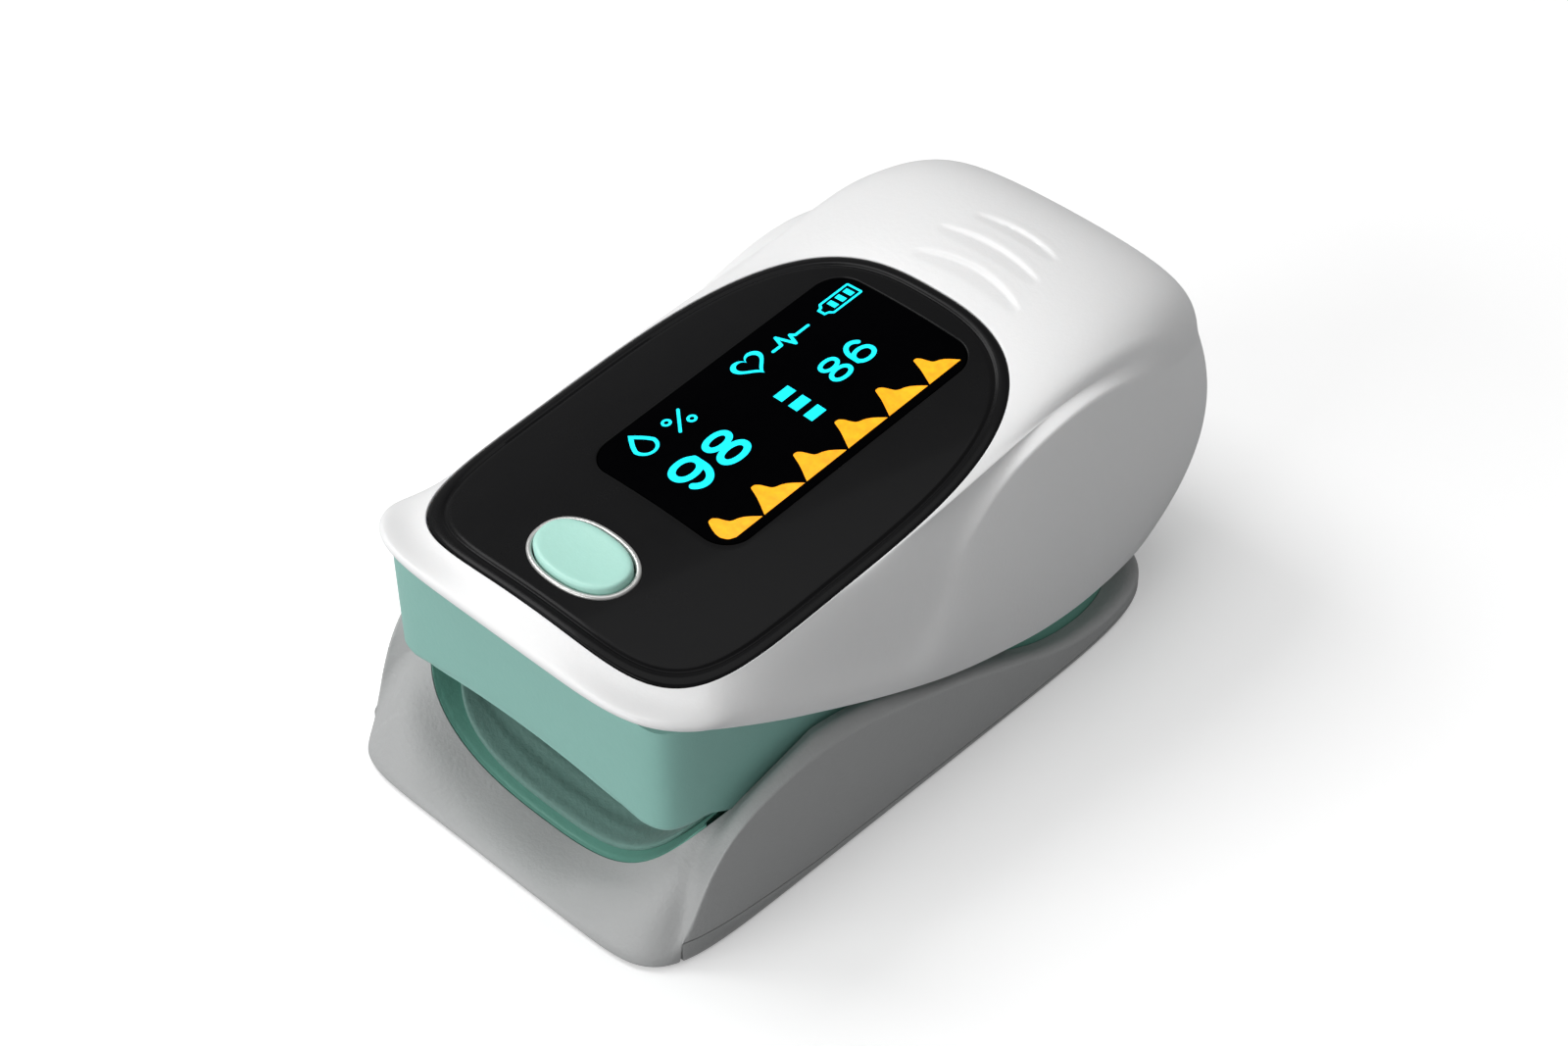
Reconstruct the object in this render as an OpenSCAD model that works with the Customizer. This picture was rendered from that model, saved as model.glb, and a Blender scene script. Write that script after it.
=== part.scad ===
// Fingertip pulse oximeter: two spring-loaded clam halves around a finger
// channel.  +X is the device's right, -Y is the finger mouth, +Z is up, and the
// origin is on the bottom face.  All sizes are in millimetres.

/* [Overall size] */
// Width across the shells
body_width = 35.5; // [35:0.1:36.5]
// Distance from the origin to the front edge of the lower shell
front_length = 31.2; // [31:0.1:31.8]
// Distance from the origin to the rear bulge of the upper shell
rear_length = 35.0; // [34.8:0.1:35.4]
// Height of the top face above the origin
top_height = 25.6; // [25.4:0.05:26]
// Rise of the top face toward the rear, per millimetre of length
top_rise = 0.08; // [0.07:0.005:0.09]
// Radius of the side-to-side crown of the top face
crown_radius = 71; // [65:1:90]

/* [Upper shell] */
// Wall thickness of the upper shell
wall = 1.3; // [1.1:0.1:1.5]
// Height of the front lip
lip_height = 22.2; // [22:0.1:22.4]
// Lowest height of the side rim, behind the middle
rim_height = 6.2; // [6.1:0.1:6.6]

/* [Display] */
// Half width of the glossy bezel
bezel_half_width = 15.2; // [14.8:0.1:15.3]
// Distance from the origin to the front end of the bezel
bezel_front = 25.8; // [25.4:0.1:25.9]
// Distance from the origin to the rear end of the bezel
bezel_rear = 16.9; // [16.5:0.1:17]
// Thickness of the bezel
bezel_thick = 1.1; // [1:0.05:1.1]
// Window width
window_width = 15; // [14:0.1:15.4]
// Window length
window_length = 27; // [26:0.1:27.4]
// Window corner radius
window_corner = 2.4; // [1.5:0.1:3]

/* [Power button] */
// Button centre, distance in front of the origin
button_front = 20.2; // [20:0.1:20.3]
// Button height above the bezel
button_rise = 0.5; // [0.4:0.05:0.6]
// Gap around the button
button_gap = 0.12; // [0.1:0.01:0.15]

/* [Hinge] */
// Hinge axis, distance in front of the origin
hinge_front = 2; // [1.9:0.05:2.1]
// Hinge axis height
hinge_height = 7; // [6.9:0.05:7.1]
// Hinge pin radius
pin_radius = 0.8; // [0.7:0.05:0.85]
// Running clearance on the pin
pin_clearance = 0.05; // [0.03:0.01:0.08]

/* [Batteries] */
// Cell diameter
cell_diameter = 10.5; // [10.3:0.1:10.5]
// Cell length
cell_length = 44.5; // [44:0.1:44.5]

/* [Hidden] */
half_width = body_width/2;
top_tilt = atan(top_rise);
overlap = 0.01;

// Ring directions, packed closer together toward the corners
ring_count = 96;
ANGLES = [for (i = [0:ring_count-1]) 360*i/ring_count + 10*sin(1440*i/ring_count)];

// Rounded outlines: [half width, y of the widest line, front y, rear y, front power, rear power]
LOWER_OUTLINE = [half_width, -3, -front_length, 27.2, 9, 6.5];
WELL_OUTLINE = [15.5, -3, -26.2, 24.1, 7, 6];
RIM_OUTLINE = [half_width-0.15, 0, -28.5, rear_length-3.8, 6, 5];
BULGE_OUTLINE = [half_width+0.7, 0, -28.6, rear_length+2.2, 6, 6.5];
CREASE_OUTLINE = [half_width, 0, -28.4, rear_length-0.2, 6, 6.5];
BEZEL_OUTLINE = [bezel_half_width, -8, -bezel_front, bezel_rear, 5, 3];
FRAME_OUTLINE = [15.2, -3, -27, 23.2, 8, 5];

// Edge heights along the length: rows of [y, z]
// Rim of the upper shell
RIM = [[-30, lip_height+0.1], [-28, lip_height-0.1], [-22.9, 20.5], [-15.8, 17], [-8.3, 13.2],
  [-2.4, 10.5], [1.6, 9], [5.8, 7.8], [10, rim_height+0.6], [14, rim_height+0.1],
  [18, rim_height], [34, rim_height]];
// Shoulder crease of the upper shell: a lip in front, a fender arch behind the waist
CREASE = [[-30, lip_height+0.8], [-26, 22.3], [-20, 20.2], [-12, 16.6], [-6.5, 14.4],
  [-3.6, 14.6], [-0.5, 17.6], [3.2, 20.9], [7.3, 23.3], [11, 24.4], [15, 24.9], [19, 24.6],
  [24, 23.2], [30, 20.9], [36, 20]];
// Upper edge of the lower shell's sides
SIDE = [[-32, 0.85], [-29.5, 0.95], [-28.4, 1.6], [-27.4, 3.4], [-26.4, 5.7], [-25.2, 7.9],
  [-23.6, 9.7], [-21.6, 10.9], [-19.4, 11.6], [-16.2, 12.1], [-13.2, 12.1], [-9.9, 11.6],
  [-5.7, 10.4], [-1.4, 8.9], [3, 7.2], [7.6, 5.2], [12.3, 3.2], [17, 2.1], [22, 1.75], [28, 1.7]];

// ---- curve functions -------------------------------------------------
function lerp(a, b, t) = a + (b - a)*t;
function ease(a, b, x) = let(t = min(1, max(0, (x - a)/(b - a)))) t*t*(3 - 2*t);
function flat(lists) = [for (list = lists) for (item = list) item];
function reversed(list) = [for (k = [len(list)-1:-1:0]) list[k]];

// Smooth Catmull-Rom curve through rows of [y, z]
function row_below(rows, y, i = 0) =
  (i >= len(rows) - 2 || y < rows[i+1][0]) ? i : row_below(rows, y, i + 1);
function slope(rows, i) = let(low = max(i-1, 0), high = min(i+1, len(rows)-1))
  (rows[high][1]-rows[low][1])/(rows[high][0]-rows[low][0]);
function curve(rows, y) = let(
    y_in = min(rows[len(rows)-1][0], max(rows[0][0], y)),
    i = row_below(rows, y_in),
    span = rows[i+1][0]-rows[i][0],
    t = (y_in-rows[i][0])/span)
  (2*t*t*t-3*t*t+1)*rows[i][1] + (t*t*t-2*t*t+t)*span*slope(rows, i)
  + (-2*t*t*t+3*t*t)*rows[i+1][1] + (t*t*t-t*t)*span*slope(rows, i+1);

// Radius of a superellipse of the given half sizes in direction a
function super_radius(a, half_x, half_y, power) =
  1/pow(pow(abs(cos(a))/half_x, power) + pow(abs(sin(a))/half_y, power), 1/power);
// Point of a rounded outline in direction a
function outline_point(a, outline) = let(
    mid = outline[1],
    reach = sin(a) < 0 ? mid - outline[2] : outline[3] - mid,
    r = super_radius(a, 1, 1, sin(a) < 0 ? outline[4] : outline[5]))
  [r*cos(a)*outline[0], mid + r*sin(a)*reach];
function shrink(outline, d) =
  [outline[0]-d, outline[1], outline[2]+d, outline[3]-d, outline[4], outline[5]];

// ---- upper shell surface ---------------------------------------------
// Top face height, and the fuller dome behind the bezel
function top_z(x, y) = top_height + top_rise*y - x*x/(2*crown_radius);
function dome_z(x, y) = top_z(x, y) + 2.4*ease(12, 27, y);

function rim_point(a) = let(p = outline_point(a, RIM_OUTLINE)) [p[0], p[1], curve(RIM, p[1])];
function crease_point(a) = let(
    p = outline_point(a, CREASE_OUTLINE),
    tuck = lerp(0.35, 1.7, ease(-6, 8, p[1])))
  [p[0]*(1-tuck/half_width), p[1], curve(CREASE, p[1])];
function bulge_point(a) = let(p = outline_point(a, BULGE_OUTLINE))
  [p[0], p[1], lerp(rim_point(a)[2], crease_point(a)[2], 0.42)];
function bezel_edge_point(a) = let(p = outline_point(a, shrink(BEZEL_OUTLINE, -0.05)))
  [p[0], p[1], top_z(p[0], p[1])];

// Side wall, from the rim (t = 0) to the crease (t = 1)
function wall_point(a, t) =
  (1-t)*(1-t)*rim_point(a) + 2*t*(1-t)*bulge_point(a) + t*t*crease_point(a);
// Cap, from the crease (t = 0) to the bezel edge (t = 1)
function cap_point(a, t) = let(
    crease = crease_point(a),
    edge = bezel_edge_point(a),
    rear = ease(-5, 6, crease[1]),
    dome_gap = max(0, dome_z(crease[0], crease[1])-crease[2]),
    crease_pull = crease + rear*[-crease[0]*0.01, -max(0, crease[1])*0.006, 0.72*dome_gap]
      + (1-rear)*(edge-crease)*0.3,
    k = lerp(0.42, 0.55, rear),
    x = lerp(edge[0], crease[0], k),
    y = lerp(edge[1], crease[1], k),
    edge_pull = [x, y, lerp(top_z(x, y)-0.25, dome_z(x, y), rear)])
  (1-t)*(1-t)*(1-t)*crease + 3*t*(1-t)*(1-t)*crease_pull + 3*t*t*(1-t)*edge_pull + t*t*t*edge;

// Inner face of the upper shell: points drawn in by d and lowered by drop
function inset(p, d, drop) = let(reach = p[1] < 0 ? -RIM_OUTLINE[2] : rear_length)
  [p[0]*(half_width-d)/half_width, p[1]*(reach-d)/reach, p[2]-drop];
function inner_rim_point(a) = let(q = inset(rim_point(a), wall, 0))
  [q[0], q[1], min(q[2], crease_point(a)[2]-1.9)];
function inner_wall_point(a) = let(q = inset(wall_point(a, 0.5), wall, 0))
  [q[0], q[1], lerp(inner_rim_point(a)[2], crease_point(a)[2]-1.6, 0.45)];

// ---- lower shell surface ---------------------------------------------
// Finger channel: cross-section height, start, and rise toward the rear
channel_start = -26;
channel_rise = 0.1;
function channel_z(x) = 1.4 + 7.3*pow(abs(x)/14.5, 2.8);

function lower_side_point(a) = let(p = outline_point(a, LOWER_OUTLINE))
  [p[0], p[1], curve(SIDE, p[1])];
function well_edge_point(a) = let(p = outline_point(a, WELL_OUTLINE), z = channel_z(p[0]))
  [p[0], p[1], p[1] < -21 ? z : min(z + 0.25*(p[1]+21), curve(SIDE, p[1])+0.1)];
function lower_top_point(a, t) =
  lerp(lower_side_point(a), well_edge_point(a), t) + [0, 0, 0.35*sin(180*t)*(1-t)];

// ---- building blocks -------------------------------------------------
// Skin through rings of points, closed by a fan to a centre point at each end
module loft(rings, bottom, top) {
  n = len(rings[0]);
  m = len(rings);
  polyhedron(points = concat(flat(rings), [bottom, top]), convexity = 6, faces = concat(
    [for (i = [0:n-1]) [i, (i+1)%n, n*m]],
    [for (j = [0:m-2]) for (i = [0:n-1]) [j*n+i, (j+1)*n+i, (j+1)*n+(i+1)%n]],
    [for (j = [0:m-2]) for (i = [0:n-1]) [j*n+i, (j+1)*n+(i+1)%n, j*n+(i+1)%n]],
    [for (i = [0:n-1]) [(m-1)*n+(i+1)%n, (m-1)*n+i, n*m+1]]));
}
// Coiled wire about the z axis: one ring of wire_sides points at each height
wire_sides = 6;
function coil_points(turns, wire, start_radius, end_radius, heights) =
  let(steps = len(heights)-1) [for (k = [0:steps]) for (j = [0:wire_sides-1]) let(
    a = 360*turns*k/steps,
    b = 360*j/wire_sides,
    r = lerp(start_radius, end_radius, k/steps) + wire*cos(b))
  [r*cos(a), r*sin(a), heights[k] + wire*sin(b)]];
function coil_faces(m, n = wire_sides) = concat(
  [[for (i = [0:n-1]) n-1-i]],
  [[for (i = [0:n-1]) (m-1)*n+i]],
  [for (j = [0:m-2]) for (i = [0:n-1]) [j*n+i, j*n+(i+1)%n, (j+1)*n+(i+1)%n]],
  [for (j = [0:m-2]) for (i = [0:n-1]) [j*n+i, (j+1)*n+(i+1)%n, (j+1)*n+i]]);

// Children placed on the sloping top face: local z = 0 is the crown line
module on_top() translate([0, 0, top_height]) rotate([top_tilt, 0, 0]) children();
module at_points(points, z = 0) for (p = points) translate([p[0], p[1], z]) children();
module slab(height, z = 0) translate([0, 0, z]) linear_extrude(height = height) children();
// Box centred across the width, starting at y and z
module mid_box(size, y, z) translate([-size[0]/2, y, z]) cube(size);
// Flat band across the whole width
module band(y, length) translate([-20, y]) square([40, length]);
// Side-view outline [y, z], drawn across the width
module side_cut(points, width = 60)
  rotate([90, 0, 90]) linear_extrude(height = width, center = true) polygon(points);
module plan(outline) polygon([for (a = ANGLES) outline_point(a, outline)]);
module bezel_plan(inward = 0) plan(shrink(BEZEL_OUTLINE, inward));
// Opening of the lower shell, a little wider behind the hinge
module well_plan(inward = 0) polygon([for (a = ANGLES)
  let(p = outline_point(a, shrink(WELL_OUTLINE, inward)))
  [p[0]*(1+0.04*ease(2, 11, p[1])), p[1]+0.6*ease(12, 20, p[1])]]);
module round_rect(width, length, radius) union() {
  square([width-2*radius, length], center = true);
  square([width, length-2*radius], center = true);
  for (x = [-1, 1]) for (y = [-1, 1])
    translate([x*(width/2-radius), y*(length/2-radius)]) circle(r = radius, $fn = 32);
}
// Everything below the crowned top face lowered by depth, in top-face coordinates
module below_crown(depth = 0) rotate([90, 0, 0]) translate([0, -crown_radius-depth, 0])
  cylinder(r = crown_radius, h = 90, center = true, $fn = 400);
// A cylinder on the hinge axis at each side
module hinge_pair(x, radius, length)
  for (side = [-1, 1]) translate([side*x, -hinge_front, hinge_height]) rotate([0, 90, 0])
    cylinder(r = radius, h = length, center = true, $fn = 48);

// ==== lower half ======================================================
FRONT_COVER_SCREWS = [[-12.4, -17], [12.4, -17]];
REAR_COVER_SCREWS = [[-11.6, 6.5], [11.6, 6.5]];
COVER_SCREWS = concat(FRONT_COVER_SCREWS, REAR_COVER_SCREWS);
cover_thick = 0.65;
screw_bore = 0.72; // radius of the cover screw holes in the frame
hinge_ear_x = 13.4;
detector_y = -10;
light_radius = 2.6; // light path at the detector and the emitter
light_window = light_radius-0.05;
pad_hole = light_radius+0.1;

// Space of the base cover: a thin floor, deeper at the front
module cover_space(gap = 0) difference() {
  side_cut([[-28+gap, -1], [-28+gap, 2.2-gap], [-15, 1-gap], [6, cover_thick-gap],
    [28, cover_thick-gap], [28, -1]]);
  mid_box([31.2+2*gap, 80, 5], -40, cover_thick-gap);
}
module lower_shell() color([0.72, 0.73, 0.73]) difference() {
  loft([
    [for (a = ANGLES) concat(outline_point(a, shrink(LOWER_OUTLINE, 0.5)), 0)],
    [for (a = ANGLES) concat(outline_point(a, LOWER_OUTLINE), 0.5)],
    for (t = [0, 0.2, 0.45, 0.7, 1]) [for (a = ANGLES) lower_top_point(a, t)]
  ], [0, -3, 0], [0, -3, 1.3]);
  slab(30, -1) well_plan();
  cover_space();
}
module base_cover() color([0.66, 0.67, 0.67]) difference() {
  intersection() {
    slab(3) plan(shrink(LOWER_OUTLINE, 0.25));
    cover_space(0.05);
    mid_box([60, 80, 3], -40, 0);
  }
  slab(3, cover_thick) plan([15.45, -3, -26.3, 24.1, 7, 6]);
  // screw holes with head recesses
  at_points(COVER_SCREWS, -1) {
    cylinder(r = 0.9, h = 4, $fn = 32);
    cylinder(r = 1.6, h = 1.35, $fn = 32);
  }
  // shallow blank label recess
  translate([0, -5, 0]) slab(0.15, -overlap) round_rect(15, 11, 1.5);
}
module cover_screws() color([0.6, 0.6, 0.62]) at_points(COVER_SCREWS) difference() {
  union() {
    translate([0, 0, 0.05]) cylinder(r = 1.5, h = 0.3, $fn = 32);
    cylinder(r = 0.7, h = 3.1, $fn = 32);
  }
  translate([0, 0, -1]) cylinder(r = 1.6, h = 1.05, $fn = 32);
  // cross slot
  mid_box([2, 0.3, 1.2], -0.15, -1);
  mid_box([0.3, 2, 1.2], -1, -1);
}

// Space above the finger channel, with its floor raised by lift
module channel(lift = 0) translate([0, channel_start, 0]) rotate([atan(channel_rise), 0, 0])
  rotate([90, 0, 0]) slab(66, -60) polygon(concat(
    [for (i = [-16:16]) let(x = i/16*15.6) [x, channel_z(x)+lift]], [[15.6, 30], [-15.6, 30]]));
// Skirt that closes the rear sides of the gap between the halves, on a thin web
module rear_skirt() {
  intersection() {
    slab(0.55, 0.7) well_plan(0.05);
    mid_box([40, 20, 5], 7.5, 0);
  }
  intersection() {
    slab(8) difference() {
      well_plan(0.05);
      plan([15.35, -3, -27.2, 23.5, 8, 5]);
    }
    side_cut([[8, 0.7], [8, 6.2], [10, 5.6], [14, 5], [25, 4.8], [25, 0.7]]);
  }
}
module lower_frame_body() difference() {
  union() {
    // scoop and side walls
    intersection() {
      slab(12, 0.7) union() {
        intersection() {
          plan([15.4, -3, -26.1, 24, 7, 6]);
          band(-27, 3.9);
        }
        intersection() {
          plan([13.9, -3, -26.1, 21.4, 7, 5]);
          band(-27, 52);
        }
      }
      side_cut([[-27, 0], [-27, 10.3], [-23, 10.3], [-20, 8.2], [-6, 6.6], [3, 6.6],
        [4, 6.4], [23, 4.6], [23, 0]]);
    }
    // hinge ears
    hinge_pair(hinge_ear_x, 2, 1);
  }
  // finger channel
  intersection() {
    channel();
    mid_box([25.8, 42.5, 40], -40, -1);
  }
  intersection() {
    channel();
    mid_box([40, 22, 40], -40, -1);
  }
  // underside bay for the detector board
  mid_box([12, 11, 2.3], -15, 0);
  // rear bay behind the finger stop
  mid_box([25.8, 9, 20], 4, 1.5);
  slab(20, 1.5) intersection() {
    plan([12.9, -3, -26.1, 20.4, 7, 5]);
    band(4, 30);
  }
  // light path, screw holes, pin bores, cable slot
  translate([0, detector_y, 0]) cylinder(r = light_radius, h = 9, $fn = 40);
  at_points(COVER_SCREWS) cylinder(r = screw_bore, h = 3.3, $fn = 32);
  hinge_pair(hinge_ear_x, pin_radius, 3);
  mid_box([4.4, 3, 20], 1.7, 0.5);
  mid_box([4.4, 7, 0.9], -4.5, 0.5);
}
module lower_frame() color([0.33, 0.56, 0.5]) union() {
  lower_frame_body();
  rear_skirt();
  // rear screw bosses
  at_points(REAR_COVER_SCREWS, 1.4) difference() {
    cylinder(r = 1.25, h = 1.8, $fn = 32);
    translate([0, 0, -1]) cylinder(r = screw_bore, h = 4, $fn = 32);
  }
}
module lower_finger_pad() color([0.5, 0.72, 0.66]) difference() {
  intersection() {
    difference() {
      channel(0.06);
      channel(1.1);
    }
    slab(20) plan([11.9, -10, -24.2, 1.2, 4, 4]);
  }
  translate([0, detector_y, 0]) cylinder(r = pad_hole, h = 20, $fn = 40);
}
module detector_board() color([0.1, 0.35, 0.2]) mid_box([11.2, 10.2, 0.6], -14.6, 0.75);
module photodiode() color([0.1, 0.1, 0.12]) mid_box([3, 3, 0.75], detector_y-1.5, 1.36);
module detector_window() color([0.6, 0.15, 0.12])
  translate([0, detector_y, 2.35]) cylinder(r = light_window, h = 1.0, $fn = 40);
// Ribbon from the detector board to the rear, then upward
module sensor_cable() color([0.75, 0.5, 0.2]) union() {
  mid_box([3.6, 6.75, 0.15], -4.35, 0.95);
  mid_box([3.6, 0.2, 6.2], 2.2, 0.95);
}
module hinge_pins() color([0.75, 0.75, 0.77]) hinge_pair(13.95, pin_radius, 2.3);

// Return springs, with the pitch easing off at both ends
SPRING_SPOTS = [[-8, 13.5], [8, 13.5]];
spring_base = 1.55;
spring_height = 7.2;
spring_radius = 2.2;
spring_wire = 0.25; // wire radius
spring_turns = 5;
spring_steps = 18*spring_turns;
module return_springs() color([0.7, 0.7, 0.72]) at_points(SPRING_SPOTS) polyhedron(
  points = coil_points(spring_turns, spring_wire, spring_radius, spring_radius,
    [for (k = [0:spring_steps]) spring_base + spring_wire
      + (spring_height-2*spring_wire)*ease(0.02, 0.98, k/spring_steps)]),
  faces = coil_faces(spring_steps+1), convexity = 10);

// ==== upper half ======================================================
// Screw posts between the upper frame and the upper shell
FRONT_POSTS = [[-12.6, -21.8], [12.6, -21.8]];
REAR_POSTS = [[-12.85, 13], [12.85, 13]];
cell_x = 5.35; // cell axes, either side of the middle
door_z = 18.6; // height of the battery door's middle
door_radius = 5.85;
door_gap = 0.12;

module outer_body() loft([
    for (t = [0, 0.12, 0.3, 0.5, 0.75, 1]) [for (a = ANGLES) wall_point(a, t)],
    for (t = [0.1, 0.22, 0.36, 0.52, 0.74, 1]) [for (a = ANGLES) cap_point(a, t)]
  ], [0, 0, 15], [0, -5, top_z(0, -5)]);
module inner_body() loft([
    [for (a = ANGLES) inner_rim_point(a) - [0, 0, 4]],
    [for (a = ANGLES) inner_rim_point(a)],
    [for (a = ANGLES) inner_wall_point(a)],
    for (t = [0, 0.25, 0.5, 0.75, 1])
      [for (a = ANGLES) inset(cap_point(a, t), wall, lerp(1.6, 2.4, t))]
  ], [0, 0, 2], [0, -5, top_z(0, -5)-2.4]);
// Stadium-shaped opening behind the two cells
module door_shape(gap = 0) translate([0, 24, door_z]) rotate([-90, 0, 0]) {
  at_points([[-cell_x, 0], [cell_x, 0]]) cylinder(r = door_radius-gap, h = 20, $fn = 64);
  mid_box([2*cell_x, 2*(door_radius-gap), 20], -door_radius+gap, 0);
}
module upper_shell() color([0.93, 0.93, 0.92]) difference() {
  union() {
    difference() {
      outer_body();
      inner_body();
    }
    intersection() {
      outer_body();
      at_points(REAR_POSTS, 12.35) cylinder(r = 1.05, h = 13, $fn = 32);
    }
  }
  // seat for the bezel and the opening under it
  on_top() difference() {
    slab(12, -8) bezel_plan(-0.1);
    below_crown(bezel_thick+0.25);
  }
  on_top() slab(10, -8) bezel_plan(1.2);
  at_points(REAR_POSTS, 11) cylinder(r = 0.62, h = 7, $fn = 24);
  door_shape();
}
module battery_door() color([0.92, 0.92, 0.91]) union() {
  intersection() {
    difference() {
      outer_body();
      inner_body();
    }
    door_shape(door_gap);
  }
  // inner rib
  intersection() {
    difference() {
      mid_box([18, 5.8, 8], 29.2, door_z-4);
      mid_box([16.4, 6, 6.4], 28.2, door_z-3.2);
    }
    intersection() {
      outer_body();
      door_shape(door_gap);
    }
  }
}

// ---- batteries, in top-face coordinates ------------------------------
cradle_front = -18.2; // inner face of the front wall
cradle_rear = 28.4;
cell_z = -9.35;
nub_height = 0.8;
cone_steps = 48;
cone_wire = 0.17; // wire radius

// Open cradle for the two cells
module battery_holder() color([0.2, 0.22, 0.23]) on_top() difference() {
  mid_box([23.4, cradle_rear-cradle_front+1, 9.6], cradle_front-1, cell_z-5.35);
  mid_box([21.9, 60, 12], cradle_front, cell_z-5.05);
  mid_box([20.4, 41, 12], cradle_front+1.4, cell_z-6);
  for (x = [-cell_x, cell_x]) translate([x, cradle_front+0.5, cell_z+0.02])
    rotate([-90, 0, 0]) cylinder(r = 5.28, h = 60, $fn = 64);
}
// The left cell's nub faces the front, the right cell's the rear
module battery_cells() color([0.25, 0.45, 0.7]) on_top() for (side = [-1, 1])
  translate([side*cell_x, cradle_front+1.25+side*0.3, cell_z+0.02]) rotate([-90, 0, 0]) union() {
    translate([0, 0, side < 0 ? nub_height : 0])
      cylinder(d = cell_diameter, h = cell_length-nub_height, $fn = 64);
    translate([0, 0, side < 0 ? 0 : cell_length-nub_height-overlap])
      cylinder(r = 1.9, h = nub_height+overlap, $fn = 32);
  }
// Conical spring at the right cell's flat end; swapping y and z lays the coil along y
module battery_springs() color([0.8, 0.8, 0.8]) on_top()
  translate([cell_x, cradle_front+0.02, cell_z]) polyhedron(
    points = [for (p = coil_points(2.5, cone_wire, 3, 1.6,
      [for (k = [0:cone_steps]) 0.2 + 1.1*k/cone_steps])) [p[0], p[2], p[1]]],
    faces = [for (face = coil_faces(cone_steps+1)) reversed(face)], convexity = 10);
// Channel-shaped contact at the left cell's nub
module battery_contacts() color([0.8, 0.75, 0.5]) on_top()
  translate([-7.6, cradle_front+0.05, cell_z-2.5]) difference() {
    cube([4.5, 0.85, 5]);
    translate([0.8, -0.1, -1]) cube([2.9, 0.65, 7]);
  }
module battery_link() color([0.8, 0.75, 0.5]) on_top() difference() {
  mid_box([17.6, 0.3, 5.6], 27.98, cell_z-2.8);
  mid_box([2.4, 2, 2], 27.2, cell_z-1);
}

// ---- upper frame and emitter -----------------------------------------
emitter_y = -11.3; // in top-face coordinates
arch_half = 12.2; // half width of the mouth
arch_foot = 10.6; // height where the arch springs

// Side walls and mouth face, the deck over the channel, spring cups and screw bosses
module upper_frame() color([0.45, 0.68, 0.62]) difference() {
  union() {
    // outer wall
    difference() {
      intersection() {
        slab(30) plan(FRAME_OUTLINE);
        side_cut([[-28, 10.6], [-23.2, 10.6], [-19.5, 8.6], [-6, 4.9], [0, 4.6], [24, 4.9],
          [24, 12.3], [2, 12.3], [-8, 14.3], [-15.8, 17.6], [-20, 19.5], [-28, 24]]);
        on_top() below_crown(2.5);
      }
      slab(40) plan(shrink(FRAME_OUTLINE, 1));
    }
    // deck, and the cross wall below it
    intersection() {
      slab(30) plan(shrink(FRAME_OUTLINE, 0.8));
      union() {
        side_cut([[-27, 12], [-22.5, 9.7], [-19.4, 8.45], [-17, 8.55], [23, 11.75],
          [23, 12.55], [-17, 9.35], [-19.2, 9.3], [-22, 10.6], [-27, 13]]);
        side_cut([[5, 5.6], [6, 5.7], [6, 11], [5, 11]], 25.2);
      }
    }
    at_points(FRONT_POSTS, 9.6) cylinder(r = 1.9, h = 10.2, $fn = 32);
    at_points(SPRING_SPOTS, 8.85) cylinder(r = 3, h = 2.6, $fn = 40);
  }
  // arch of the mouth
  rotate([90, 0, 0]) slab(12, 20) polygon(concat(
    [[-arch_half, 0], [-arch_half, arch_foot]],
    [for (i = [-12:12]) [i, arch_foot+1.3*(1-pow(abs(i)/arch_half, 2.2))]],
    [[arch_half, arch_foot], [arch_half, 0]]));
  hinge_pair(14.7, pin_radius+pin_clearance, 2);
  at_points(concat(FRONT_POSTS, REAR_POSTS), 5) cylinder(r = 0.65, h = 20, $fn = 24);
  at_points(FRONT_POSTS, 5) cylinder(r = 1.05, h = 5.87, $fn = 32);
  // emitter seat and cable slot
  on_top() translate([0, emitter_y, -17]) cylinder(r = light_radius, h = 4, $fn = 40);
  on_top() mid_box([9.2, 7.8, 2], emitter_y-3.9, -15.25);
  mid_box([5.2, 4, 8], 1, 4);
}
module upper_finger_pad() color([0.5, 0.72, 0.66]) on_top() difference() {
  slab(1.22, -16.9) plan([11.2, -10, -19.4, -0.6, 4, 4]);
  translate([0, emitter_y, -20]) cylinder(r = pad_hole, h = 20, $fn = 40);
  // hollow of the finger face
  rotate([90, 0, 0]) translate([0, -46.2, -30]) cylinder(r = 30, h = 70, $fn = 160);
}
module emitter_board() color([0.1, 0.35, 0.2]) on_top()
  mid_box([9, 7.6, 0.3], emitter_y-3.8, -15.24);
module emitter_leds() color([0.8, 0.1, 0.1]) on_top() for (x = [-0.9, 0.9])
  translate([x-0.6, emitter_y-0.6, -15.9]) cube([1.2, 1.2, 0.65]);
module emitter_window() color([0.7, 0.8, 0.8, 0.5]) on_top()
  translate([0, emitter_y, -16.85]) cylinder(r = light_window, h = 0.9, $fn = 40);
module frame_screw(length, head_radius) {
  cylinder(r = 0.6, h = length, $fn = 32);
  cylinder(r = head_radius, h = 0.7, $fn = 32);
}
module frame_screws() color([0.6, 0.6, 0.62]) union() {
  at_points(FRONT_POSTS, 10.15) frame_screw(8, 1);
  at_points(REAR_POSTS, 10.12) frame_screw(6.88, 0.9);
}

// ---- electronics, in top-face coordinates ----------------------------
part_base = -3.23; // underside of the parts on top of the main board

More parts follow.
